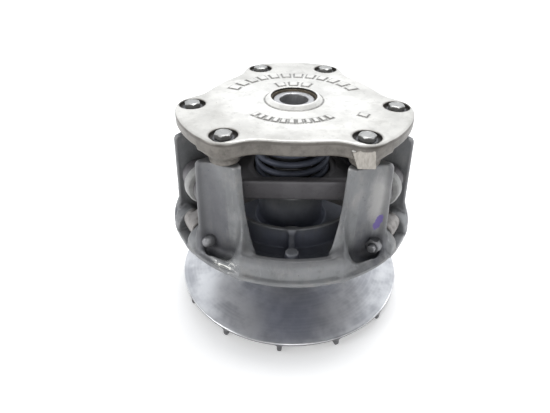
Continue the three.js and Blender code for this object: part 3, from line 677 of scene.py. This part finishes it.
def moveable_sheave():
    """Belt face, band, three pockets with their ears, six tower plates, ribs and ring."""
    block = Block((-104.6, -104.6, 60), (104.6, 104.6, 160), 0.95)
    r, z, along, side = block.r, block.z, block.along, block.side
    deep_along, deep_side = along[..., None], side[..., None]
    face = [(at, face_height(at, MOVEABLE_R, LIP_Z, -1)) for at in (MOVEABLE_BORE_R, FACE_FLAT_R, 103.9)]
    disc = swept([
        *face, (MOVEABLE_R, 77.4), (MOVEABLE_R, 80.2), (103.9, 80.8), (101.8, 81.8), (99.9, BAND_TOP_Z),
        (94.8, BAND_TOP_Z), (94.8, FLOOR_Z), (72, FLOOR_Z), (70.5, 78), (60.5, 77.5), (60.1, 96), (56.3, 96),
        (55.9, 75.5), (32, 69), (29, 73), (29, 103.7), (MOVEABLE_BORE_R, 103.7),
    ], r, z, 0.5)
    pocket_cut = both(block.raised(side - 22, FLOOR_Z, 125), (72 - along)[..., None], 1.5)
    body = without(disc, pocket_cut, 1.5)

    # Beside each plate the band drops to a ledge, which leans outwards and ramps up to the window's sill.
    sill_turn = math.radians(36)
    past_sill = side * math.cos(sill_turn) - along * math.sin(sill_turn)
    ledge = LEDGE_Z + (BAND_TOP_Z - LEDGE_Z + 3) * rise(past_sill, -11, 8) - 0.3 * np.maximum(r - 94.5, 0)
    above = (ledge[..., None] - z) * 0.8
    beside = np.maximum(22 - side, 75 - along)
    body = without(body, both(above, beside[..., None], 1.0), 2.5)
    recess = outline_distance([(76, 21), (95.8, 21), (93.8, 33.5), (86, 46), (78.5, 52.5)], along, side)
    body = without(body, block.raised(recess, FLOOR_Z, 125), 2.5)

    plate = block.thick([
        (68, 77), (96.6, 79), (92.8, 156.5), (91.7, 158.7), (89.3, TOWER_TOP_Z), (68, TOWER_TOP_Z),
    ], along, side, PLATE_INNER, PLATE_OUTER, 1.4)
    column = block.post(BOLT_X, BOLT_Y, COLUMN_R, 77, TOWER_TOP_Z, 1.2)
    window_edge = [(64, 77), (62.5, 97.5), (57, 105), (51.5, 116), (47.6, 130), (43.8, TOWER_TOP_Z)]
    web = swept([(24, 77), *window_edge, (24, TOWER_TOP_Z)], side, z, 0.4)
    flare = 8.5 * rise(122 - z, 0, 38) * rise(side, 40, 56)[..., None]
    web = both(web, np.maximum(67 - deep_along, (deep_along - 72 - flare) * 0.9), 1.8)
    towers = either(either(plate, column, 14.0), web, 12.0)
    beside_window = [(-20, 60), (64, 60), *window_edge, (43.8, 200), (-20, 200)]
    towers = both(towers, swept(beside_window, side, z, 0.4), 1.0)
    inner_side = np.maximum(67 - deep_along, PLATE_INNER - deep_side)
    towers = both(towers, np.maximum(inner_side, z - TOWER_TOP_Z), 1.2)
    body = either(body, towers, 6.0)

    ear = block.thick([
        (79, 77), (80.5, 90), (83.4, 93), (86.5, 95.8), (89.5, 96.6), (93, 95.8), (99.5, 91), (102.4, 86),
        (103.4, 79), (103.4, 77),
    ], along, side, 10, PLATE_INNER + 1, 2.0, 1.0)
    body = either(body, both(ear, (r - 104.2)[..., None], 1.0), 2.0)

    rib = block.thick([
        (57, 76), (97, 76), (97, 92.5), (84, 92), (70, 91), (63, 93), (57, 95.5),
    ], block.window, block.beside, -2.5, 2.5, 1.5)
    rib_boss = block.raised(np.hypot(block.window - 84.5, block.beside) - 5.2, 78, 94.6, 1.6)
    body = either(body, either(rib, rib_boss, 2.0), 4.0)

    notch = both(block.raised(side - 10, 79.6, 125, 0.5), (79 - along)[..., None])
    body = without(body, notch, 1.6)
    body = without(body, block.cross_hole(PIVOT_X, PIVOT_Z, 3.5), 0.8)
    body = without(body, block.post(BOLT_X, BOLT_Y, 3.4, 138, 170, 0), 0.8)
    body = without(body, block.bore(MOVEABLE_BORE_R, 50, 120), 0.8)
    marks = {"scuff": front_scuff, "machined": belt_face, "well_dust_and_shade": well_dust_and_shade_mask, "stain": pivot_stain}
    piece = skin("moveable_casting", block, body, 198000, marks=marks)
    dress(piece, MOVING, moveable_paint(), "cast_metal", "moveable_sheave")


def fixed_sheave():
    """Belt face with a thin rim, on a hub, and radial fins underneath."""
    block = Block((-FIXED_R, -FIXED_R, 0), (FIXED_R, FIXED_R, 27), 1.1)
    face = [(at, face_height(at, FIXED_R, FIXED_RIM_Z, 1)) for at in (103.4, FACE_FLAT_R, FIXED_BORE_R)]
    body = swept([
        (FIXED_BORE_R, 1), (34, 1), (35, 20.6), (102.6, 7.6), (FIXED_R, 8.6), (FIXED_R, 10.6), *face,
    ], block.r, block.z, 0.5)
    turn = np.arctan2(block.y, block.x) - math.radians(FIN_AZIMUTH)
    turn -= 2 * math.pi / FIN_COUNT * np.round(turn * FIN_COUNT / (2 * math.pi))
    reach, beside = block.r * np.cos(turn), block.r * np.sin(turn)
    fin = block.thick([
        (32, 0.6), (40, 0), (102.6, 0), (103.4, 0.8), (103.4, 9), (60, 17), (32, 22),
    ], reach, beside, -FIN_HALF, FIN_HALF, 1.0, 0.4)
    body = either(body, fin, 2.0)
    body = both(body, (block.r - FIXED_R)[..., None], 0.5)
    body = without(body, block.bore(FIXED_BORE_R, -5, 40), 0.5)
    piece = skin("fixed_casting", block, body, 190000)
    dress(piece, FIXED, sheave_paint(), "machined_aluminium", "fixed_sheave")


def spider_plan(x, y, inradius, reach):
    """The spider's three straight bars, cut off square at each fork."""
    along, _ = fold(x, y)
    window, _ = fold(x, y, WINDOW_ANGLE)
    return both(window - inradius, along - reach, 3.0)


def spider():
    """Three straight bars around the spring's cup, with a fork for a roller at each corner."""
    block = Block((-95, -95, 109), (95, 95, 138), 0.9)
    r, z, along, side = block.r, block.z, block.along, block.side
    hub = swept([
        (THREAD_BORE_R, SPIDER_BASE_Z), (36.3, SPIDER_BASE_Z), (36.3, TRAY_FLOOR_Z), (CUP_R, TRAY_FLOOR_Z),
        (CUP_R, CUP_FLOOR_Z), (25.6, CUP_FLOOR_Z), (24.6, 118), (THREAD_BORE_R, 118),
    ], r, z, 0.5)
    bars = spider_plan(block.x, block.y, BAR_INRADIUS, FORK_ROOT)
    body = block.raised(bars, BAR_BASE_Z, BAR_TOP_Z, 2.2)
    tray = block.raised(spider_plan(block.x, block.y, 42.5, 57), TRAY_FLOOR_Z, 150, 2.0)
    body = without(body, tray, 2.0)
    body = without(body, block.bore(CUP_R, 100, 130), 0.8)
    body = either(body, hub, 2.0)
    tine_outline = [(60, 117.5), (FORK_ROOT, 115)]
    for i in range(25):
        angle = math.radians(-100 + 200 * i / 24)
        tine_outline.append((ROLLER_X + TINE_R * math.cos(angle), ROLLER_Z + TINE_R * math.sin(angle)))
    tine_outline += [(FORK_ROOT, BAR_TOP_Z), (60, BAR_TOP_Z)]
    body = either(body, block.thick(tine_outline, along, side, TINE_INNER, TINE_OUTER, 1.6), 2.5)
    channel = both(block.raised(side - TINE_INNER, 100, 118.9, 0), (36.7 - along)[..., None])
    body = without(body, channel, 0.8)
    room = both(block.cross_hole(ROLLER_X, ROLLER_Z, ROLLER_R + 1.6), (side - TINE_INNER)[..., None])
    body = without(body, room, 0.8)
    body = without(body, block.cross_hole(ROLLER_X, ROLLER_Z, 5.2), 0.6)
    body = without(body, block.bore(THREAD_BORE_R, 100, 130), 0.6)
    piece = skin("spider_casting", block, body, 90000)
    dress(piece, FIXED, spider_paint(), "dark_cast", "spider")


def cover_plan(block):
    """Distance to the cover's edge: three lobes with a shallow scallop between them."""
    angles = [0, 13, 21, 27, 31.5, 34, 38, 46, 60]
    radii = [92.6, 92.7, 91.9, 89.6, 84.8, 78.8, 74.4, 72, 71.2]
    fine = np.linspace(0, 60, 121)
    curve = np.interp(fine, angles, radii)
    for _ in range(6):
        padded = np.concatenate([curve[3:0:-1], curve, curve[-2:-5:-1]])
        curve = np.convolve(padded, np.ones(7) / 7, "valid")
    points = []
    lobe = list(zip(-fine[::-1], curve[::-1])) + list(zip(fine[1:-1], curve[1:-1]))
    for middle in POCKET_ANGLES:
        for angle, radius in lobe:
            turn = math.radians(middle + angle)
            points.append((radius * math.cos(turn), radius * math.sin(turn)))
    return outline_distance(points[::2], block.x, block.y)


def bolt_reach(x, y):
    """Distance to the nearest cover bolt's axis."""
    along, across = fold(x, y)
    return np.hypot(along - BOLT_X, np.abs(across) - BOLT_Y)


def cover_grime_and_shade(x, y, z, nx, ny, nz):
    """Dark film with painted shade in the counterbores and a little round them, painted shade with oxide in
    the centre boss's throat, and a brown film on the skirt.
    """
    reach = bolt_reach(x, y)
    # Painted shade with a dark film in each counterbore, and a little round it.
    bore = rise(10.9 - reach, 0, 1.0) * rise(178.7 - z, 0, 0.7)
    halo = 0.25 * rise(12.5 - reach, 0, 2.5)
    skirt = 0.42 * rise(178.6 - z, 0, 1.0) * rise(0.8 - nz, 0, 0.4)
    # Painted shade with oxide on the wall of the centre boss's throat.
    throat = rise(19.4 - np.hypot(x, y), 0, 0.8) * rise(0.8 - nz, 0, 0.4)
    return np.max([bore, halo, skirt, throat], axis=0)


def pad_field(block):
    """Metal behind the spot-faced flat on the boss right of the front window."""
    outline = [(37.2, 173.6), (53.4, 173.6), (55.2, 160.2), (42.2, 160.2)]
    flat = swept(outline, block.x, block.z, 0.15)
    return both(flat, span(block.y, -74.7, -62)[..., None], 0.5)


def pad_cut(block):
    """What is cut away in front of that flat."""
    outline = [(37.2, 173.6), (53.4, 173.6), (55.2, 150), (41.5, 150)]
    return both((block.y + 74.6)[..., None], swept(outline, block.x, block.z, 0.15))


def pad_mark(x, y, z, nx, ny, nz):
    """The bright face of that flat."""
    return rise(-ny, 0.93, 0.98) * rise(-72.5 - y, 0, 0.6) * rise(9.6 - np.abs(x - 46), 0, 0.3) * (z < 174)


# Arcs of raised bars on the cover: radius, half a bar's length, first and last angle, and how many.
DASH_ARCS = [
    (54, 4.6, 22, 160, 12), (33.5, 4.2, 62, 118, 3), (40.8, 3.4, -138, -48, 11), (58, 3.6, -33.5, -24.5, 1),
]


def dash_distance(x, y, radius, half_length, first, last, count):
    """Plan distance to an arc of plain bars, two thirds of their pitch wide."""
    angle = np.degrees(np.arctan2(y, x))
    reach = np.hypot(x, y)
    pitch = (last - first) / count
    nearest = np.clip(np.round((angle - first) / pitch - 0.5), 0, count - 1)
    off = np.radians(angle - first - (nearest + 0.5) * pitch) * radius
    half_width = math.radians(pitch * 0.66 / 2) * radius
    return np.maximum(np.abs(reach - radius) - half_length, np.abs(off) - half_width)


def foot_shadow_line(x, y, z, nx, ny, nz):
    """The painted contact shadow: a thin dark line round the base of every raised bar and of the centre boss.
    """
    near = np.abs(np.hypot(x, y) - 23.1)
    for arc in DASH_ARCS:
        near = np.minimum(near, np.abs(dash_distance(x, y, *arc) - 0.15))
    return rise(-near, -1.0, -0.35) * rise(z, 178, 178.5) * rise(180.2 - z, 0, 0.3)


def cover():
    """Dished plate with six bolt bosses, spokes, a centre boss and a pilot that holds the spring."""
    block = Block((-93, -85, COVER_BASE_Z), (93, 93, BOSS_TOP_Z), 0.75)
    r, z, along, side = block.r, block.z, block.along, block.side
    plan = cover_plan(block)
    body = block.raised(plan, SKIRT_BASE_Z, COVER_TOP_Z, 3.0)
    boss = block.post(BOLT_X, BOLT_Y, BOSS_R, COVER_BASE_Z, 174, 0.8)
    body = either(body, boss, 5.0)
    body = either(body, pad_field(block), 0.6)
    body = without(body, pad_cut(block), 0.4)
    hollow = block.raised(plan + 4.4, 150, CEILING_Z, 2.0)
    hollow = without(hollow, block.post(BOLT_X, BOLT_Y, BOSS_R, 150, 174, 0), 3.0)
    body = without(body, hollow, 0.8)
    turn = math.atan2(BOLT_Y, BOLT_X)
    boss_line = np.abs(along * math.sin(turn) - side * math.cos(turn))
    spoke = both(block.raised(boss_line - 2, 169.8, 174), (33 - r)[..., None])
    body = either(body, both(spoke, (r - 70)[..., None]), 2.5)
    room = both(block.raised(side - PLATE_INNER, 150, 169.8, 0), (60 - along)[..., None])
    body = without(body, room, 1.2)
    body = either(body, swept([
        (10, 171.5), (21.95, 171.5), (22.8, 177.9), (22.8, COVER_TOP_Z), (19.8, BOSS_TOP_Z),
        (10, BOSS_TOP_Z),
    ], r, z, 0.25), 0.4)
    body = either(body, swept([(21.5, 168.5), (25.5, 168.5), (25.5, 174), (21.5, 174)], r, z, 0.4), 1.5)
    for arc in DASH_ARCS:
        bars = dash_distance(block.x, block.y, *arc)
        body = either(body, block.raised(bars, COVER_TOP_Z - 2, COVER_TOP_Z + 0.8, 0.4), 0.2)
    body = without(body, block.post(BOLT_X, BOLT_Y, COUNTERBORE_R, COUNTERBORE_Z, 190, 0.4), 0.9)
    body = without(body, block.post(BOLT_X, BOLT_Y, 3.5, 150, 190, 0), 0.6)
    body = without(body, block.bore(18, 150, 200), 0.3)
    body = without(body, block.bore(19.1, 150, 180.8), 0.3)
    marks = {"grime_and_shade": cover_grime_and_shade, "machined": pad_mark, "foot_shadow": foot_shadow_line}
    piece = skin("cover_casting", block, body, 198000, marks=marks)
    dress(piece, MOVING, cover_paint(), "cover_metal", "cover")


# ---- moving inner parts ----

def roller_path(t):
    """Where the roller's axis is in the flyweight's own plane, t millimetres into the travel."""
    angle = math.radians(SWING) * t / TRAVEL
    x, z = ROLLER_X - PIVOT_X, ROLLER_Z - PIVOT_Z + t
    return x * math.cos(angle) - z * math.sin(angle), x * math.sin(angle) + z * math.cos(angle)


def cam_point(t):
    """A point of the flyweight's cam: the roller's path set back by its radius."""
    (x, z), (next_x, next_z) = roller_path(t), roller_path(t + 0.01)
    reach = (ROLLER_R + 0.3) / math.hypot(next_x - x, next_z - z)
    return x - (next_z - z) * reach, z + (next_x - x) * reach


def flyweight(index):
    """A blade whose lower edge is the cam, on a round hub."""
    block = Block((-60, -10, -9), (9, 10, 30), 0.6)
    turns = [math.radians(a) for a in range(-110, 76, 15)]
    heel = [(HEEL_R * math.cos(turn), HEEL_R * math.sin(turn)) for turn in turns]
    outline = heel + [(-6.5, 12.5), (-11, 17)] + [cam_point(TRAVEL * i / 20) for i in range(21)]
    outline += [(-53.6, 10.9), (-54.6, 9.4), (-53.6, 8.2), (-28.5, 7.2), (-22, 4.5), (-11, -5)]
    body = both(swept(outline, block.x, block.z, 0.35), (np.abs(block.y) - BLADE_HALF)[..., None], 1.2)
    reach = np.hypot(block.x[..., None], block.z)
    hub = both(reach - HEEL_R, (np.abs(block.y) - 9.6)[..., None], 1.4)
    body = without(either(body, hub, 1.5), reach - 4.9, 0.6)
    piece = skin(f"weight_{index + 1}", block, body, 24000, 1.2, 4.0)
    moved(piece, pocket_place(index, PIVOT_X, 0, PIVOT_Z))
    dress(piece, f"flyweight_arm_{index + 1}", weight_steel, "dark_steel", f"flyweight_{index + 1}")


def cover_bolt(index):
    """Hex head with a chamfered crown, a shallow dish and a washer face, over a plain shank."""
    block = Block((-6.6, -6.6, 176.6), (6.6, 6.6, 180.7), 0.2)
    r, z = block.r, block.z
    turn = [42, 70, 48, 80, 60, 35][index]
    head = block.hexagon(HEX_FLATS, turn, 176.9, 180.7, 0.15)
    head = both(head, block.chamfer(5.6, z - 180.2), 0.15)
    head = without(head, both((r - 4.3)[..., None], 180.4 - z), 0.15)
    washer_face = both((r - 5.5)[..., None], span(z, 176.65, 177.2), 0.2)
    tag = index + 1
    piece = skin(f"hex_bolt_{tag}", block, either(head, washer_face, 0.2), 16000, 0.5, 1.5)
    side = 1 if index % 2 else -1
    place = pocket_place(index // 2, BOLT_X, side * BOLT_Y)
    moved(piece, place)
    dress(piece, MOVING, zinc_steel, "zinc_steel", f"cover_bolt_{tag}")
    shank = turned_mesh(f"bolt_shank_{tag}", box_profile(0, 3.1, 141, 176.6), 0.4, 32, place)
    dress(shank, MOVING, dark_steel, "zinc_steel", f"cover_bolt_{tag}")
    ring = box_profile(3.5, 7.6, COUNTERBORE_Z + 0.1, COUNTERBORE_Z + 1.3)
    washer = turned_mesh(f"flat_washer_{tag}", ring, 0.3, 48, place)
    dress(washer, MOVING, dark_steel, "dark_steel", f"cover_washer_{tag}")


def pivot_hardware(index):
    """The flyweight's pivot bolt with a domed head, its nut and its bushing."""
    tag = index + 1
    place = pocket_place(index, PIVOT_X, 0, PIVOT_Z, crosswise=True)
    base = PLATE_OUTER + 0.3
    bolt = turned_mesh(f"pivot_bolt_{tag}", [
        (0, -34.5), (3.2, -34.5), (3.2, base), (5.9, base), (5.9, base + 2.2), (5.2, base + 3.6),
        (3.8, base + 4.6), (1.9, base + 5.1), (0, base + 5.2),
    ], 0.5, 48, place)
    dress(bolt, MOVING, dull_zinc, "dark_steel", f"flyweight_bolt_{tag}")
    block = Block((-6.6, -6.6, -31), (6.6, 6.6, -base), 0.22)
    nut = block.hexagon(HEX_FLATS, 30, -31, -base, 0.25)
    for end in (1, -1):
        middle = (-31 - base) / 2
        nut = both(nut, block.chamfer(5.8, end * (block.z - middle) - 2.5), 0.3)
    nut = without(nut, (block.r - 3.4)[..., None], 0.3)
    piece = skin(f"lock_nut_{tag}", block, nut, 14000, 0.5, 1.5)
    moved(piece, place)
    dress(piece, MOVING, dull_zinc, "zinc_steel", f"flyweight_nut_{tag}")
    sleeve = turned_mesh(f"weight_sleeve_{tag}", box_profile(3.45, 4.7, -9.4, 9.4), 0.2, 48, place)
    dress(sleeve, f"flyweight_arm_{tag}", bronze, "bushing", f"flyweight_bushing_{tag}")


def roller_set(index):
    """Cam roller with its bushing, pin, washers and the fork's slide buttons."""
    tag = index + 1
    place = pocket_place(index, ROLLER_X, 0, ROLLER_Z, crosswise=True)
    half, rim = ROLLER_HALF, ROLLER_R
    tyre = [(7.6, -half), (rim - 1, -half), (rim, 1 - half), (rim, half - 1), (rim - 1, half), (7.6, half)]
    roller = turned_mesh(f"cam_tyre_{tag}", tyre, 0.4, 128, place)
    dress(roller, f"cam_roller_{tag}", polymer, "roller_polymer", f"roller_{tag}")
    sleeve = turned_mesh(f"roller_sleeve_{tag}", box_profile(5.25, 7.45, -half, half), 0.3, 64, place)
    dress(sleeve, f"cam_roller_{tag}", bronze, "bushing", f"roller_bushing_{tag}")
    pin = turned_mesh(f"fork_pin_{tag}", box_profile(0, 5, -TINE_OUTER, TINE_OUTER), 0.5, 48, place)
    dress(pin, FIXED, shaft_steel, "shaft_steel", f"roller_pin_{tag}")
    for letter, sign in (("a", 1), ("b", -1)):
        ring = box_profile(5.3, 9.6, sign * (half + 0.25), sign * (TINE_INNER - 0.25))
        washer = turned_mesh(f"side_washer_{tag}{letter}", ring, 0.3, 48, place)
        dress(washer, FIXED, dark_steel, "dark_steel", f"roller_washer_{tag}{letter}")
        near, far = sign * (TINE_OUTER + 0.2), sign * (PLATE_INNER - 0.25)
        button = [(0, near), (10.4, near), (9.6, far), (0, far)]
        cap = turned_mesh(f"slide_cap_{tag}{letter}", button, 0.4, 64, place)
        dress(cap, FIXED, polymer, "roller_polymer", f"slide_button_{tag}{letter}")


# ---- shaft, spring and bushings ----

def shaft_parts():
    """The shaft, its bushings and what is stacked on it around the spider."""
    shaft = turned_mesh("clutch_post", [
        (15.5, 1), (20, 1), (20, 27.2), (22, 27.2), (22, 104), (19, 104), (19, 128.6), (17, 129.8), (17, 178),
        (15.6, 179.4), (11.9, 179.4), (11.25, 178.7), (11.25, 156), (8.2, 154.2), (8.2, 96), (12.3, 95),
    ], 0.4, 128)
    dress(shaft, FIXED, shaft_steel, "shaft_steel", "clutch_shaft")
    rings = [
        ("lower_bushing", MOVING, bronze, "bushing", "sheave_bushing", (22.1, 24.5, 61, 103.7)),
        ("upper_bushing", MOVING, bronze, "bushing", "cover_bushing", (17.1, 19, 171.5, 180.6)),
        ("spider_washer", FIXED, dark_steel, "dark_steel", "spider_spacer", (19.15, 25.8, 104.1, 109.1)),
        ("stop_tube", FIXED, dark_steel, "dark_steel", "limiter_spacer", (17.15, 20.4, 130.2, 138.2)),
    ]
    for name, body, material, slot, node, size in rings:
        dress(turned_mesh(name, box_profile(*size), 0.4, 96), body, material, slot, node)
    base, top, nut_flats = 118.2, 127.8, 43
    block = Block((-25.6, -25.6, base), (25.6, 25.6, top), 0.5)
    nut = block.hexagon(nut_flats, 30, base, top, 0.5)
    nut = both(nut, block.chamfer(23.2, block.z - 127), 0.5)
    nut = without(nut, (block.r - THREAD_BORE_R)[..., None], 0.5)
    dress(skin("spider_nut", block, nut, 20000, 1.0, 3.0), FIXED, dark_steel, "dark_steel", "spider_jam_nut")


def drive_spring():
    """Five free turns of round wire, with a closed turn lying on its seat at each end."""
    wire, radius, turns = 2.5, 29.2, 7
    seat, top = CUP_FLOOR_Z + 0.25, CEILING_Z - 0.25
    low, high = seat + wire, top - wire
    dead = 2 * wire + 0.5
    pitch = (high - low - 2 * dead) / (turns - 2)
    steps, sides = turns * 56, 16
    verts = []
    for i in range(steps + 1):
        turn = turns * i / steps
        z = low + dead * min(turn, 1) + pitch * min(max(turn - 1, 0), turns - 2)
        z += dead * max(turn - turns + 1, 0)
        angle = 2 * math.pi * turn
        taper = 1.0 if 0 < i < steps else 0.8
        for k in range(sides):
            a = 2 * math.pi * k / sides
            out, up = radius + wire * taper * math.cos(a), z + wire * taper * math.sin(a)
            verts.append((out * math.cos(angle) * MM, out * math.sin(angle) * MM, up * MM))
    faces = [list(range(sides)), list(range(steps * sides, (steps + 1) * sides))[::-1]]
    for i in range(steps):
        for k in range(sides):
            j = (k + 1) % sides
            faces.append([i * sides + k, (i + 1) * sides + k, (i + 1) * sides + j, i * sides + j])
    piece = smooth_piece("coil_spring", verts, faces, 50)
    dress(piece, FIXED, spring_paint, "spring_steel", "drive_spring")
    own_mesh(piece)


# ---- camera, floor and light ----

def camera():
    """A near view from above and in front."""
    yaw, pitch, roll = math.radians(-1.03), math.radians(35.625), math.radians(0.36)
    ahead = Vector((math.sin(yaw) * math.cos(pitch), math.cos(yaw) * math.cos(pitch), -math.sin(pitch)))
    right = Vector((math.cos(yaw), -math.sin(yaw), 0))
    up = right.cross(ahead)
    right, up = right * math.cos(roll) + up * math.sin(roll), up * math.cos(roll) - right * math.sin(roll)
    data = bpy.data.cameras.new("camera")
    data.sensor_width = 36
    data.lens = 29.265
    data.clip_start, data.clip_end = 0.01, 50
    seen = bpy.data.objects.new("camera", data)
    seen.matrix_world = Matrix((right, up, -ahead)).transposed().to_4x4()
    seen.location = (-0.00838, -0.33503, 0.31514)
    bpy.context.scene.collection.objects.link(seen)
    bpy.context.scene.camera = seen


def softbox(name, place, aim, size, power):
    data = bpy.data.lights.new(name, "AREA")
    data.shape = "DISK"
    data.size = size
    data.energy = power
    lamp = bpy.data.objects.new(name, data)
    lamp.location = place
    lamp.rotation_euler = (Vector(aim) - Vector(place)).to_track_quat("-Z", "Y").to_euler()
    bpy.context.scene.collection.objects.link(lamp)


def stage():
    mesh = bpy.data.meshes.new("floor")
    mesh.from_pydata([(-4, -4, 0), (4, -4, 0), (4, 4, 0), (-4, 4, 0)], [], [(0, 1, 2, 3)])
    floor = put("floor", mesh)
    floor.location.z = -0.0002
    paper = bpy.data.materials.new("floor_white")
    paper.use_nodes = True
    fill(paper.node_tree.nodes["Principled BSDF"], {
        "Base Color": (0.78, 0.78, 0.78, 1), "Roughness": 0.9,
        "Emission Color": (1, 1, 1, 1), "Emission Strength": 0.36,
    })
    mesh.materials.append(paper)
    world = bpy.data.worlds.new("studio")
    world.use_nodes = True
    nodes = world.node_tree.nodes
    coords = nodes.new("ShaderNodeTexCoord").outputs["Generated"]
    depth = fill(nodes.new("ShaderNodeSeparateXYZ"), {0: coords}).outputs["Y"]
    level = nodes.new("ShaderNodeMapRange")
    level.interpolation_type = "SMOOTHSTEP"
    fill(level, {"Value": depth, "From Min": -0.5, "From Max": 0.6, "To Min": 0.12, "To Max": 1.15})
    fill(nodes["Background"], {"Strength": level.outputs["Result"], "Color": (0.94, 0.965, 1.0, 1)})
    bpy.context.scene.world = world
    softbox("top_box", (0.2, 0.9, 3.0), (0, 0, 0.1), 1.6, 62)
    softbox("left_box", (-1.9, -0.95, 0.8), (0, 0, 0.1), 0.9, 16)
    softbox("right_box", (1.7, 0.3, 0.7), (0, 0, 0.1), 0.8, 4)
    softbox("front_box", (0.1, -1.9, 0.85), (0, 0, 0.11), 1.2, 9.5)
    bpy.context.scene.view_settings.view_transform = "Standard"


camera()
stage()
moveable_sheave()
fixed_sheave()
spider()
cover()
for pocket in range(3):
    flyweight(pocket)
    pivot_hardware(pocket)
    roller_set(pocket)
for bolt in range(6):
    cover_bolt(bolt)
shaft_parts()
drive_spring()
